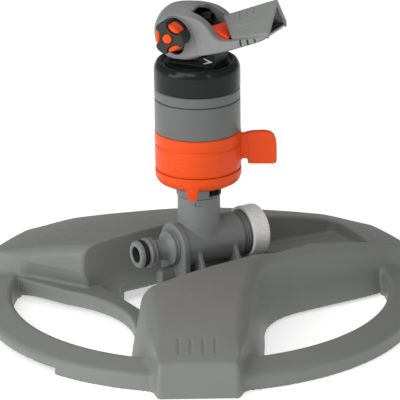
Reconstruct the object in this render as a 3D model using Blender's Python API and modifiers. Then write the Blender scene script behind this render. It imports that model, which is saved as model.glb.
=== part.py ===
"""Turbine sprinkler on a ring sled: a water-driven turret with a jet head, standing on a moulded base.

Run with: blender --background --python part.py
Sizes below are in millimetres; objects are built in metres, +Z up, origin at the ground, in the middle of the sled.
"""

import math

import bmesh
import bpy
from mathutils import Matrix, Vector

MM = 0.001
FIT = 0.3  # clearance between pieces that touch or run
TAU = 2 * math.pi

# Base sled
RING_OUTER_R = 130.0
RING_INNER_R = 112.7
RING_EDGE_H = 9.0
RING_CROWN_H = 14.6
RING_FILLET = 3.0
SLED_WALL = 2.6
DOME_TOP_Z = 46.5
DOME_R = 370.0
HEEL_STEP = 9.0                 # each heel stands out this far past the ring
HEEL_REACH = RING_OUTER_R + HEEL_STEP
HEEL_HALF = 24.0
FRONT_HEEL_RIGHT = 22.0         # the front heel stands a little left of its leg's middle
FRONT_HEEL_LEFT = 25.2
HEEL_DRAFT = 3.0
FRONT_LEG_AZ = -90.0
EAST_LEG_AZ = 30.0
WEST_LEG_AZ = 150.0
LEG_HALF = 38.0
WEST_LEG_HALF = 33.0
FRONT_LEG_LEFT_HALF = 41.0
FRONT_LEG_RIGHT_HALF = 37.5
OPENING_INNER_R = 50.4
BACK_EDGE_Y = 83.0
SKIRT_LIFT = 1.8
STRUT_BOTTOM_Z = 4.0
STRUT_TOP_Z = 13.5
STRUT_INNER_X = -45.5
STRUT_OUTER_X = -55.0

# Channel for the hose connection, along the tee
TEE_AZ = 30.0
TEE_Z = 44.8
CHANNEL_HALF_NIPPLE = 41.0
CHANNEL_HALF_COLUMN = 37.5
CHANNEL_HALF_CAP = 34.0
CHANNEL_HALF_END = 23.0
CHANNEL_END_X = 108.5
CHANNEL_DRAFT = 1.5
HUB_FLOOR_Z = 8.6
HUB_FLOOR_START_X = -32.0
HUB_FLOOR_END_X = 58.0
STEP_FLOOR_Z = 22.0
NIPPLE_SKIRT_Z = 4.0            # the walls beside the nipple end this far above the ground
FLOOR_GAP = ((-36.0, 9.0), (-19.0, 18.0), (-4.0, 18.0), (-4.0, 36.5), (-36.0, 36.5))
FOOT_BOSS_R = 4.5
FOOT_BOSS_H = 5.0

# Tee, nipple and end cap
TEE_TUBE_R = 14.0
TEE_BORE_R = 9.0
RISER_R = 12.7
RISER_BORE_R = 9.6
RISER_TOP_Z = 75.4
PLATE_X = -18.5
PLATE_T = 4.0
PLATE_R = 14.6
TEE_SHOULDER_X = 24.0
THREAD_END_X = 37.1
THREAD_R = 13.2
THREAD_PITCH = 1.814
FRAME_RIB_XS = (-8.5, 16.0)
FRAME_RIB_T = 2.4
FRAME_RIB_HALF = 29.0
TEE_SCREW_XS = (3.0, 40.0)
TEE_FOOT_T = 3.0
SCREW_SHANK_R = 1.9
SCREW_HEAD_R = 3.6
SCREW_HEAD_H = 2.2
KEEL_X = -29.0
KEEL_T = 6.0
KEEL_TOP_Z = 33.2
NIPPLE_FRONT_X = -44.0
NIPPLE_BORE_R = 4.5
NIPPLE_LAND_R = 8.1
NIPPLE_RIDGE_R = 8.8
NIPPLE_NECK_R = 6.2
NIPPLE_FLANGE_R = 10.4
NIPPLE_FLANGE_T = 3.6
NIPPLE_SPIGOT_R = 8.5
NIPPLE_SPIGOT_X = -9.0
O_RING_WIRE_R = 1.15
SIEVE_WALL = 0.8
CAP_START_X = 29.2
CAP_LENGTH = 11.9
CAP_R = 15.7
CAP_END_WALL = 1.9
CAP_RIBS = 20
CAP_RIB_H = 0.5
SEAL_T = 1.5

# Column: neck, housing, band and collar
NECK_R = 13.4
NECK_TOP_Z = 83.0
STEM_R = 11.2
STEM_TOP_Z = 92.0
STEM_BORE_R = 8.2
NECK_SPIGOT_H = 9.0
LEVER_SLOT_Z = (76.9, 80.9)
LEVER_SLOT_R = 9.8
LEVER_AZ = -32.0
LEVER_SLOT_HALF_DEG = 30.0
LEVER_HALF_DEG = 17.0
LEVER_TIP_R = 14.8
HOUSING_R = 25.45
HOUSING_GROOVE_R = 22.9
HOUSING_BOTTOM_Z = 83.6
HOUSING_FLOOR_T = 2.8
HOUSING_BORE_LOW_R = 20.4
HOUSING_BORE_R = 21.6
HOUSING_STEP_Z = 118.6
GROOVE_TOP_Z = 116.6
HOUSING_TOP_Z = 136.3
SPIGOT_R = 23.4
SPIGOT_TOP_Z = 150.0
BAND_TOP_Z = 142.9
COLLAR_R = 25.6
COLLAR_TOP_Z = 157.5
COLLAR_RIM_Z = 159.5
COLLAR_TOP_T = 3.0
COLLAR_WALL = 1.9
COLLAR_SHOULDER = 4.0
DUCT_R = 5.0

# Sector rings
SECTOR_R = 25.6
SECTOR_TOP_Z = 116.2
SECTOR_SPLIT_Z = 92.6
SECTOR_BOTTOM_Z = 85.0
TAB_AZ = -3.0
TAB_REACH = 46.6
TAB_FOLD_X = 29.5
TAB_TOP_Z = 115.0
TAB_BOTTOM_Z = 94.6
TAB_ROOT_Z = 97.8
TAB_CORNER_R = 9.0
TAB_LOW_CORNER_R = 2.0
TAB_T = 3.6
POINTER_AZ = -99.0
POINTER_TIP_Z = 79.2
POINTER_HALF_TOP = 4.6
POINTER_HALF_TIP = 2.4
POINTER_T = 2.2

# Turbine and gear train: two parallel axes, four meshes of wheel on pinion
GEAR_MODULE = 0.55
WHEEL_TEETH = 27
PINION_TEETH = 9
TOOTH_ADDENDUM = 0.42
TOOTH_DEDENDUM = 0.62
TOOTH_WIDTH = 0.58
TOOTH_TIP_WIDTH = 0.34
WHEEL_T = 3.0
AXLE_R = 1.0
AXLE_BORE_R = 1.2
AXLE_BOTTOM_Z = 93.0
AXLE_TOP_Z = 127.4
POST_AZ = 60.0
POST_TOP_Z = 127.9
TURBINE_Z = (98.4, 104.0)
TURBINE_R = 13.5
TURBINE_HUB_R = 4.2
TURBINE_BLADES = 10
TURBINE_PINION_TOP_Z = 111.0
STATOR_R = 15.0
STATOR_Z = (92.3, 95.4)
STATOR_VANES = 6
STATOR_HUB_R = 3.2
WHEEL_1_Z = 108.2
PINION_1_TOP_Z = 116.4
WHEEL_2_Z = 113.2
PINION_2_TOP_Z = 121.4
WHEEL_3_Z = 118.2
PINION_3_TOP_Z = 126.6
SUN_Z = 123.4
CASE_R = 19.8
CASE_BORE_R = 18.4
CASE_FLOOR_Z = 105.2
CASE_FLOOR_T = 1.8
CASE_TOP_Z = 127.2
CASE_FLANGE_T = 1.6
CASE_HOLE_R = 4.3
LID_T = 1.8

# Head, in a frame turned to the jet: x forward along the jet, y to its left
HEAD_AZ = -27.0
HEAD_HALF_W = 17.3
DRUM_X = -4.1
DRUM_Z = 177.8
DRUM_R = 14.0
ARM_TIP_X = 52.0
ARM_TIP_HALF_W = 12.6
SHELL_WALL = 2.0
BARREL_X = -4.6
BARREL_R = 19.6
BARREL_SHOULDER_R = 17.1
BARREL_FLAT = 0.905             # the back's height above the axis, as a share of its radius
SHELL_BOTTOM_Z = 163.7
CAVITY_X = (3.0, 50.6)
CAVITY_HALF_W = 11.2
KNOB_X = -5.2                   # the selector's axis, forward of the column's and above the ground
KNOB_Z = 179.4
RECESS_R = 11.0
RECESS_DEPTH = 10.0
TOWER_R = 15.0
TOWER_X = (-13.5, 14.0)
TOWER_HALF_W = 11.5
TOWER_TOP_Z = 166.0
PILLAR_X = (12.0, 17.3)
PILLAR_Y = (-11.4, 6.4)
PILLAR_FOOT_X = 16.8
PILLAR_BOTTOM_Z = 160.2
PILLAR_TOP_Z = 168.5
CORE_X = (-9.0, 1.5)
CORE_Y = (-9.0, 11.3)
CORE_TOP_Z = 187.4
CORE_BORE_R = 3.0
JET_TILT = 20.0
NOZZLE_R = 4.6
NOZZLE_BORE_R = 2.6
NOZZLE_START = (2.0, 183.2)
NOZZLE_LENGTH = 9.4
KNOB_R = 10.3
KNOB_LOBE = 1.5
KNOB_BASE_T = 8.0
KNOB_REACH = 10.2
INSERT_R = 8.0
INSERT_HALF_W = 3.6
INSERT_DEPTH = 8.4
KNOB_CAP_R = 2.9
KNOB_CAP_T = 1.2
BREAKER_X = (12.8, 26.6)
BREAKER_Z = 179.6
BREAKER_T = 5.2
BREAKER_HALF_W = 10.9
BREAKER_SLOPE = 20.0
BREAKER_SKEW = 12.0
BREAKER_PIN = (23.2, 176.4)
RIDGE_START = (17.8, 188.8)
RIDGE_END = (53.0, 203.6)
SKIRT_START = (29.5, 180.7)
SKIRT_END = (53.2, 186.2)
DEFLECTOR_HALF_W = 12.4
DEFLECTOR_T = 1.5
DEFLECTOR_EAR_R = 2.0
DEFLECTOR_PIN = (31.0, 177.5)
PIN_R = 1.0
CLIP_XZ = (10.4, 163.3)

# Colours as linear values, with roughness and metallic
GREY = ((0.115, 0.120, 0.117), 0.45, 0.0)
DARK_GREY = ((0.060, 0.064, 0.062), 0.45, 0.0)
HEAD_GREY = ((0.185, 0.190, 0.185), 0.45, 0.0)
LIGHT_GREY = ((0.400, 0.390, 0.385), 0.5, 0.0)
BLACK = ((0.012, 0.014, 0.013), 0.35, 0.0)
ORANGE = ((0.790, 0.085, 0.010), 0.4, 0.0)
RUBBER = ((0.010, 0.010, 0.010), 0.7, 0.0)
STEEL = ((0.550, 0.550, 0.560), 0.3, 1.0)
ACETAL = ((0.700, 0.690, 0.640), 0.4, 0.0)

for old in list(bpy.data.objects):
    bpy.data.objects.remove(old, do_unlink=True)

parts = bpy.data.collections.new("turbine_sprinkler")
tools = bpy.data.collections.new("cutters")
bpy.context.scene.collection.children.link(parts)
bpy.context.scene.collection.children.link(tools)
materials = {}
stand = bpy.data.objects.new("stand", None)
stand.location = (0, (HEEL_REACH - RING_OUTER_R) / 2 * MM, 0)
parts.objects.link(stand)


def frame_empty(name, location=(0, 0, 0), azimuth=0.0, parent=None):
    """An empty in millimetres that carries the pieces of one sub-frame."""
    empty = bpy.data.objects.new(name, None)
    empty.location = Vector(location) * MM
    empty.rotation_euler = (0, 0, math.radians(azimuth))
    empty.empty_display_size = 0.02
    empty.parent = parent or stand
    parts.objects.link(empty)
    return empty


def material(finish):
    if finish not in materials:
        colour, roughness, metallic = finish
        made = bpy.data.materials.new(f"finish_{len(materials) + 1}")
        made.use_nodes = True
        shader = made.node_tree.nodes["Principled BSDF"]
        shader.inputs["Base Color"].default_value = (*colour, 1)
        shader.inputs["Roughness"].default_value = roughness
        shader.inputs["Metallic"].default_value = metallic
        materials[finish] = made
    return materials[finish]


def add_object(name, mesh, finish=None, parent=None):
    """A finished part when it has a finish, otherwise a hidden cutter or joining shape."""
    obj = bpy.data.objects.new(name, mesh)
    obj.parent = parent or stand
    if finish:
        own = material(finish).copy()
        own.name = name
        mesh.materials.append(own)
        parts.objects.link(obj)
    else:
        obj.hide_render = True
        obj.display_type = "WIRE"
        tools.objects.link(obj)
    return obj


def smooth(obj, degrees=32.0):
    obj.data.shade_smooth()
    obj.data.set_sharp_from_angle(angle=math.radians(degrees))


def is_flat(face):
    """True when every corner of a face lies in one plane, to a micrometre."""
    face.normal_update()
    middle = face.calc_center_median()
    return all(abs((corner.co - middle).dot(face.normal)) < 0.001 * MM for corner in face.verts)


def mesh_from(bm, name, matrix=Matrix.Identity(4)):
    """Closes a bmesh into a mesh, taking millimetres to metres."""
    bmesh.ops.transform(bm, matrix=Matrix.Scale(MM, 4) @ matrix, verts=bm.verts)
    bmesh.ops.triangulate(bm,
                          faces=[face for face in bm.faces if len(face.verts) == 4 and not is_flat(face)])
    bmesh.ops.recalc_face_normals(bm, faces=bm.faces)
    if bm.calc_volume(signed=True) < 0:
        bmesh.ops.reverse_faces(bm, faces=bm.faces)
    mesh = bpy.data.meshes.new(name)
    bm.to_mesh(mesh)
    bm.free()
    return mesh


def box(name, low, high, finish=None, parent=None, bevel=0.0):
    bm = bmesh.new()
    bmesh.ops.create_cube(bm, size=1.0)
    size = Vector(high) - Vector(low)
    centre = (Vector(high) + Vector(low)) / 2
    matrix = Matrix.Translation(centre) @ Matrix.Diagonal((*size, 1.0))
    obj = add_object(name, mesh_from(bm, name, matrix), finish, parent)
    if bevel:
        round_edges(obj, bevel)
    return obj


def rod(name, radius, start, end, finish=None, parent=None, sides=32, end_radius=None):
    """A cylinder or cone between two points."""
    start, end = Vector(start), Vector(end)
    along = end - start
    bm = bmesh.new()
    bmesh.ops.create_cone(bm, cap_ends=True, segments=sides, radius1=radius,
                          radius2=radius if end_radius is None else end_radius, depth=along.length)
    turn = along.to_track_quat("Z", "Y").to_matrix().to_4x4()
    matrix = Matrix.Translation((start + end) / 2) @ turn
    return add_object(name, mesh_from(bm, name, matrix), finish, parent)


def turned(name, profile, finish=None, parent=None, steps=64, along_x=False):
    """A profile of (radius, height) points, outer side first from the top down, turned with a Screw."""
    bm = bmesh.new()
    closed = all(radius > 0 for radius, _ in profile)
    verts = [bm.verts.new((radius * MM, 0, height * MM)) for radius, height in profile]
    for first, second in zip(verts, verts[1:] + (verts[:1] if closed else [])):
        bm.edges.new((first, second))
    mesh = bpy.data.meshes.new(name)
    bm.to_mesh(mesh)
    bm.free()
    obj = add_object(name, mesh, finish, parent)
    screw = obj.modifiers.new("turn", "SCREW")
    screw.steps = screw.render_steps = steps
    screw.use_merge_vertices = True
    screw.merge_threshold = 0.000001
    if along_x:
        obj.rotation_euler = (0, math.radians(90), 0)
    return obj


def outline_mesh(name, points, low, high, matrix=Matrix.Identity(4)):
    """A flat outline in x and y, extruded from height low to high by a filled 2D curve."""
    curve = bpy.data.curves.new(name, "CURVE")
    curve.dimensions = "2D"
    curve.fill_mode = "BOTH"
    curve.extrude = (high - low) / 2 * MM
    spline = curve.splines.new("POLY")
    spline.points.add(len(points) - 1)
    for at, (x, y) in zip(spline.points, points):
        at.co = (x * MM, y * MM, 0, 1)
    spline.use_cyclic_u = True
    drawn = bpy.data.objects.new(name, curve)
    bpy.context.scene.collection.objects.link(drawn)
    drawn.matrix_world = matrix @ Matrix.Translation((0, 0, (low + high) / 2 * MM))
    bpy.context.view_layer.update()
    mesh = bpy.data.meshes.new_from_object(drawn.evaluated_get(bpy.context.evaluated_depsgraph_get()))
    bm = bmesh.new()
    bm.from_mesh(mesh)
    bmesh.ops.remove_doubles(bm, verts=bm.verts, dist=1e-7)
    bmesh.ops.transform(bm, matrix=drawn.matrix_world, verts=bm.verts)
    bmesh.ops.recalc_face_normals(bm, faces=bm.faces)
    bm.to_mesh(mesh)
    bm.free()
    mesh.name = name
    bpy.data.objects.remove(drawn, do_unlink=True)
    bpy.data.curves.remove(curve)
    return mesh


def plate(name, points, low, high, finish=None, parent=None, matrix=Matrix.Identity(4)):
    return add_object(name, outline_mesh(name, points, low, high, matrix), finish, parent)


def lofted(name, lower, upper, low, high, finish=None, parent=None):
    """A body between two outlines of the same count, at heights low and high."""
    bm = bmesh.new()
    rings = [[bm.verts.new((x, y, z)) for x, y in ring] for ring, z in ((lower, low), (upper, high))]
    bm.faces.new(rings[0])
    bm.faces.new(rings[1])
    count = len(lower)
    for i in range(count):
        k = (i + 1) % count
        bm.faces.new((rings[0][i], rings[0][k], rings[1][k], rings[1][i]))
    return add_object(name, mesh_from(bm, name), finish, parent)


def round_edges(obj, width, segments=2, degrees=40.0):
    bevel = obj.modifiers.new("edges", "BEVEL")
    bevel.width = width * MM
    bevel.segments = segments
    bevel.limit_method = "ANGLE"
    bevel.angle_limit = math.radians(degrees)
    return bevel


def combine(obj, operation, others):
    """Cuts from, joins to or trims an object by hidden shapes."""
    for other in others:
        step = obj.modifiers.new(other.name, "BOOLEAN")
        step.operation = operation
        step.solver = "EXACT"
        step.object = other
    return obj


def polar(radius, degrees):
    angle = math.radians(degrees)
    return radius * math.cos(angle), radius * math.sin(angle)


def arc(centre, radius, start, end, count):
    """Points on an arc from one angle to another, in degrees."""
    step = (end - start) / (count - 1)
    return [(centre[0] + polar(radius, start + step * i)[0], centre[1] + polar(radius, start + step * i)[1])
            for i in range(count)]


def inset(points, distance):
    """The outline moved inwards by a distance; points run counter-clockwise."""
    moved = []
    count = len(points)
    for i in range(count):
        here = Vector(points[i])
        back = (here - Vector(points[i - 1])).normalized()
        ahead = (Vector(points[(i + 1) % count]) - here).normalized()
        left = Vector((-back.y, back.x)) + Vector((-ahead.y, ahead.x))
        left.normalize()
        reach = distance / max(0.35, left.dot(Vector((-ahead.y, ahead.x))))
        moved.append(tuple(here + left * reach))
    return moved


def dome_height(x, y, drop=0.0):
    return DOME_TOP_Z - drop - (x * x + y * y) / (2 * DOME_R)


# Base sled


def leg_point(azimuth, reach, side):
    """A plan point at a distance out along a leg, and a distance to its left."""
    x, y = polar(reach, azimuth)
    across = polar(side, azimuth + 90)
    return x + across[0], y + across[1]


def plan_outline():
    """Foot and crest outlines of the raised body: pairs of plan points, counter-clockwise."""
    heel_top = HEEL_REACH - HEEL_DRAFT
    knee = RING_OUTER_R - 3.0
    shoulder = RING_INNER_R - 8.0
    fillet_r = (OPENING_INNER_R * math.sin(math.radians(60)) - LEG_HALF) / (1 - math.sin(math.radians(60)))
    pairs = []

    def add(azimuth, reach, side, top_side, top_reach=None):
        top = leg_point(azimuth, reach if top_reach is None else top_reach, top_side)
        pairs.append((leg_point(azimuth, reach, side), top))

    def opening_end(left_leg, right_leg, half):
        """The rounded inner end of an opening, between two legs."""
        middle = left_leg + 60
        centre = polar(OPENING_INNER_R + fillet_r, middle)
        for angle in (30, 15, 0, -15, -30):
            foot = polar(fillet_r, middle + 180 + angle)
            crest = polar(fillet_r + 5.0, middle + 180 + angle)
            pairs.append(((centre[0] + foot[0], centre[1] + foot[1]),
                          (centre[0] + crest[0], centre[1] + crest[1])))

    add(FRONT_LEG_AZ, HEEL_REACH, FRONT_HEEL_RIGHT, FRONT_HEEL_RIGHT - 0.8, heel_top)
    add(FRONT_LEG_AZ, knee, FRONT_HEEL_RIGHT + 4.0, FRONT_HEEL_RIGHT + 0.9)
    add(FRONT_LEG_AZ, shoulder, FRONT_LEG_RIGHT_HALF, FRONT_LEG_RIGHT_HALF - 12.5)
    add(FRONT_LEG_AZ, 70.0, FRONT_LEG_RIGHT_HALF + 0.5, FRONT_LEG_RIGHT_HALF - 9.1)
    opening_end(FRONT_LEG_AZ, EAST_LEG_AZ, LEG_HALF)
    add(EAST_LEG_AZ, 70.0, -LEG_HALF, -LEG_HALF + 9.0)
    add(EAST_LEG_AZ, shoulder, -LEG_HALF, -LEG_HALF + 11.5)
    add(EAST_LEG_AZ, knee, -HEEL_HALF - 3.5, -HEEL_HALF - 0.6)
    add(EAST_LEG_AZ, HEEL_REACH, -HEEL_HALF, -HEEL_HALF + 0.8, heel_top)
    add(EAST_LEG_AZ, HEEL_REACH, HEEL_HALF, HEEL_HALF - 0.8, heel_top)
    add(EAST_LEG_AZ, knee, HEEL_HALF + 6.0, HEEL_HALF + 2.0)
    add(EAST_LEG_AZ, shoulder + 8.0, LEG_HALF + 8.0, LEG_HALF + 4.5)
    back = ((62.0, BACK_EDGE_Y + 8.0), (40.0, BACK_EDGE_Y), (-40.0, BACK_EDGE_Y),
            (-62.0, BACK_EDGE_Y + 8.0))
    for x, y in back:
        pairs.append(((x, y), (x, y - 4.0)))
    add(WEST_LEG_AZ, shoulder + 8.0, -LEG_HALF - 8.0, -LEG_HALF - 4.5)
    add(WEST_LEG_AZ, knee, -HEEL_HALF - 6.0, -HEEL_HALF - 2.0)
    add(WEST_LEG_AZ, HEEL_REACH, -HEEL_HALF, -HEEL_HALF + 0.8, heel_top)
    add(WEST_LEG_AZ, HEEL_REACH, HEEL_HALF, HEEL_HALF - 0.8, heel_top)
    add(WEST_LEG_AZ, knee, HEEL_HALF + 3.5, HEEL_HALF + 0.6)
    add(WEST_LEG_AZ, shoulder, WEST_LEG_HALF, WEST_LEG_HALF - 3.0)
    add(WEST_LEG_AZ, 55.0, WEST_LEG_HALF, WEST_LEG_HALF - 2.0)
    add(FRONT_LEG_AZ, 60.0, -FRONT_LEG_LEFT_HALF, -FRONT_LEG_LEFT_HALF + 7.0)
    add(FRONT_LEG_AZ, shoulder, -FRONT_LEG_LEFT_HALF, -FRONT_LEG_LEFT_HALF + 12.5)
    add(FRONT_LEG_AZ, knee, -FRONT_HEEL_LEFT - 3.3, -FRONT_HEEL_LEFT - 0.4)
    add(FRONT_LEG_AZ, HEEL_REACH, -FRONT_HEEL_LEFT, -FRONT_HEEL_LEFT + 0.8, heel_top)
    return pairs


def raised_body(name, wall):
    """The three-legged raised body under the dome, smaller all round by a wall."""
    pairs = plan_outline()
    low, high = (-6.0 - wall, 60.0)
    lower, upper = [], []
    for foot, crest in pairs:
        rise = dome_height(*crest)
        slope = ((crest[0] - foot[0]) / rise, (crest[1] - foot[1]) / rise)
        lower.append((foot[0] + slope[0] * low, foot[1] + slope[1] * low))
        upper.append((foot[0] + slope[0] * high, foot[1] + slope[1] * high))
    body = lofted(name, inset(lower, wall), inset(upper, wall), low, high)
    ball_z = DOME_TOP_Z - wall - DOME_R
    reach = HEEL_REACH + 30.0
    rings = 5
    profile = [(0.0, DOME_TOP_Z - wall)]
    for i in range(1, rings + 1):
        radius = reach * i / rings
        profile.append((radius, ball_z + math.sqrt(DOME_R ** 2 - radius ** 2)))
    profile += [(reach, -30.0), (0.0, -30.0)]
    dome = turned(f"{name}_dome", profile, steps=36)
    return combine(body, "INTERSECT", [dome])


def channel_shape(name, grow, floor_z, start_x, end_x, high=70.0):
    """The trough that the hose connection lies in, in the tee's frame."""
    sides = ((-100.0, CHANNEL_HALF_NIPPLE), (0.0, CHANNEL_HALF_COLUMN), (30.0, CHANNEL_HALF_CAP),
             (60.0, (CHANNEL_HALF_CAP + CHANNEL_HALF_END) / 2 - 1.0), (CHANNEL_END_X, CHANNEL_HALF_END))

    def half_at(x):
        for (x0, h0), (x1, h1) in zip(sides, sides[1:]):
            if x0 <= x <= x1:
                return h0 + (h1 - h0) * (x - x0) / (x1 - x0)
        return sides[-1][1]

    xs = [start_x] + [x for x, _ in sides if start_x < x < end_x] + [end_x]
    upper = [(x, -half_at(x)) for x in xs] + [(x, half_at(x)) for x in reversed(xs)]
    upper = inset(upper, -grow)
    lower = inset(upper, CHANNEL_DRAFT)
    return lofted(name, lower, upper, floor_z - grow, high, parent=tee_plan)


def ring_profile(wall):
    """Section of the ring: an outer wall, a crown that rises inwards, and an inner wall."""
    low = -4.0 - wall
    outer, inner = RING_OUTER_R - wall, RING_INNER_R + wall
    return [(outer - 4.2, RING_EDGE_H + 2.2 - wall), (outer - 1.4, RING_EDGE_H + 1.0 - wall),
            (outer - 0.4, RING_EDGE_H - 1.4 - wall), (outer, low), (inner, low),
            (inner, RING_CROWN_H - RING_FILLET - wall), (inner + 0.9, RING_CROWN_H - 0.8 - wall),
            (inner + RING_FILLET, RING_CROWN_H - wall)]


def strut_outline(wall):
    """Bar across the nipple's opening, straight inside and curved outside, in the tee's frame."""
    reach = CHANNEL_HALF_NIPPLE + 6.0
    outer = [(STRUT_OUTER_X - 17.0 * (y / reach) ** 2, y)
             for y in (reach, 0.66 * reach, 0.33 * reach, 0.0, -0.33 * reach, -0.66 * reach, -reach)]
    return inset(outer + [(STRUT_INNER_X, -reach), (STRUT_INNER_X, reach)], wall)


def make_base():
    grown = SLED_WALL
    body = raised_body("sled_body", 0.0)
    trough = channel_shape("sled_trough", 0.0, HUB_FLOOR_Z, HUB_FLOOR_START_X - 40.0, HUB_FLOOR_END_X)
    far_trough = channel_shape("sled_far_trough", 0.0, STEP_FLOOR_Z, HUB_FLOOR_END_X - 6.0, CHANNEL_END_X)
    nipple_gap = channel_shape("sled_nipple_gap", 0.0, -20.0, -100.0, HUB_FLOOR_START_X)
    combine(body, "DIFFERENCE", [trough, far_trough, nipple_gap])
    ring = turned("sled_ring", ring_profile(0.0), steps=60)
    strut = plate("sled_strut", strut_outline(0.0), STRUT_BOTTOM_Z, STRUT_TOP_Z, parent=tee_plan)

    hollow = raised_body("sled_hollow", SLED_WALL)
    keep = [channel_shape("hollow_trough", grown, HUB_FLOOR_Z, HUB_FLOOR_START_X - 40.0,
                          HUB_FLOOR_END_X + grown),
            channel_shape("hollow_far_trough", grown, STEP_FLOOR_Z, HUB_FLOOR_END_X - 6.0,
                          CHANNEL_END_X + grown),
            channel_shape("hollow_nipple_gap", grown, NIPPLE_SKIRT_Z + grown, -100.0,
                          HUB_FLOOR_START_X + grown)]
    gap = plate("sled_floor_gap", list(FLOOR_GAP), -5.0, HUB_FLOOR_Z + 3.0, parent=tee_plan)
    combine(hollow, "DIFFERENCE", keep)
    ring_hollow = turned("ring_hollow", ring_profile(SLED_WALL), steps=60)
    lift = rod("sled_lift", RING_INNER_R - 1.3, (0, 0, -10.0), (0, 0, SKIRT_LIFT), sides=90)

    bosses = [rod(f"foot_boss_{i}", FOOT_BOSS_R, (x, 0, HUB_FLOOR_Z - FOOT_BOSS_H),
                  (x, 0, HUB_FLOOR_Z - 1.0),
                  parent=tee_plan) for i, x in enumerate(TEE_SCREW_XS, 1)]
    pilots = [rod(f"foot_pilot_{i}", SCREW_SHANK_R + 0.2, (x, 0, -5.0), (x, 0, HUB_FLOOR_Z + 5.0),
                  parent=tee_plan) for i, x in enumerate(TEE_SCREW_XS, 1)]

    # The sled starts as a low disc inside the hub, which the raised body then swallows
    sled = rod("base_sled", 8.0, (0, 0, HUB_FLOOR_Z - 2.0), (0, 0, HUB_FLOOR_Z - 0.6), GREY, sides=24)
    combine(sled, "UNION", [body, ring, strut])
    combine(sled, "DIFFERENCE", [hollow, ring_hollow, lift, gap])
    combine(sled, "UNION", bosses)
    far = 1.5 * HEEL_REACH
    ground = box("ground", (-far, -far, -DOME_TOP_Z), (far, far, 0.0))
    combine(sled, "DIFFERENCE", pilots + [ground])
    return sled


# Tee, nipple and end cap


def upright(x):
    """Takes a plate drawn with across and height as x and y, to stand square across the tee at x."""
    return Matrix.Translation((x * MM, 0, 0)) @ Matrix(((0, 0, 1, 0), (1, 0, 0, 0), (0, 1, 0, 0),
                                                        (0, 0, 0, 1)))


def make_tee():
    floor = HUB_FLOOR_Z + FIT - TEE_Z
    tee = rod("tee_body", TEE_TUBE_R, (PLATE_X, 0, 0), (TEE_SHOULDER_X, 0, 0), GREY, tee_axis, sides=24)
    riser = rod("tee_riser", RISER_R, (0, 0, 0), (0, 0, RISER_TOP_Z - TEE_Z), parent=tee_axis, sides=24)
    thread = [(0.0, THREAD_END_X), (THREAD_R - 0.8, THREAD_END_X), (THREAD_R, THREAD_END_X - 0.8),
              (THREAD_R, TEE_SHOULDER_X + THREAD_PITCH), (THREAD_R - 1.1, TEE_SHOULDER_X + 0.6),
              (THREAD_R - 1.1, TEE_SHOULDER_X - 1.0), (0.0, TEE_SHOULDER_X - 1.0)]
    spigot = turned("tee_thread", thread, parent=tee_axis, steps=28, along_x=True)
    foot_w = 9.0
    face = arc((0, 0), PLATE_R, 0, 180, 15) + [(-PLATE_R, floor), (PLATE_R, floor)]
    flange = plate("tee_plate", face, 0.0, PLATE_T, parent=tee_axis, matrix=upright(PLATE_X))
    keel = plate("tee_keel",
                 [(KEEL_X, floor), (KEEL_X, KEEL_TOP_Z - TEE_Z - 4.0), (KEEL_X + 2.5, KEEL_TOP_Z - TEE_Z),
                  (PLATE_X + 1.0, KEEL_TOP_Z - TEE_Z), (PLATE_X + 1.0, floor)],
                 -KEEL_T / 2, KEEL_T / 2, parent=tee_axis,
                 matrix=Matrix(((1, 0, 0, 0), (0, 0, -1, 0), (0, 1, 0, 0), (0, 0, 0, 1))))
    ribs = []
    for i, x in enumerate(FRAME_RIB_XS, 1):
        shape = [(-FRAME_RIB_HALF, floor), (FRAME_RIB_HALF, floor), (FRAME_RIB_HALF, floor + 4.0),
                 (TEE_TUBE_R - 0.6, 0.0), (-TEE_TUBE_R + 0.6, 0.0), (-FRAME_RIB_HALF, floor + 4.0)]
        ribs.append(plate(f"tee_rib_{i}", shape, 0.0, FRAME_RIB_T, parent=tee_axis, matrix=upright(x)))
    foot_end = TEE_SCREW_XS[1] + foot_w
    foot = box("tee_foot", (PLATE_X, -foot_w, floor), (foot_end, foot_w, floor + TEE_FOOT_T),
               parent=tee_axis)
    combine(tee, "UNION", [riser, spigot, flange, keel] + ribs + [foot])
    bore = rod("tee_bore", TEE_BORE_R, (PLATE_X - 5.0, 0, 0), (THREAD_END_X + 5.0, 0, 0),
               parent=tee_axis, sides=32)
    up_bore = rod("riser_bore", RISER_BORE_R, (0, 0, 0), (0, 0, RISER_TOP_Z - TEE_Z + 5.0),
                  parent=tee_axis, sides=32)
    holes = []
    for i, x in enumerate(TEE_SCREW_XS, 1):
        holes.append(rod(f"foot_hole_{i}", SCREW_SHANK_R + FIT, (x, 0, floor - 2.0),
                         (x, 0, floor + TEE_FOOT_T + 2.0),
                         parent=tee_axis, sides=20))
        screw = [(0.0, floor + TEE_FOOT_T + SCREW_HEAD_H + FIT),
                 (SCREW_HEAD_R - 0.8, floor + TEE_FOOT_T + SCREW_HEAD_H + FIT),
                 (SCREW_HEAD_R, floor + TEE_FOOT_T + SCREW_HEAD_H),
                 (SCREW_HEAD_R, floor + TEE_FOOT_T + FIT),
                 (SCREW_SHANK_R, floor + TEE_FOOT_T + FIT), (SCREW_SHANK_R, floor - FOOT_BOSS_H + 1.0),
                 (0.0, floor - FOOT_BOSS_H + 1.0)]
        made = turned(f"tee_screw_{i}", screw, STEEL, tee_axis, steps=20)
        made.location = (x * MM, 0, 0)
    combine(tee, "DIFFERENCE", [bore, up_bore] + holes)
    return tee


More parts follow.
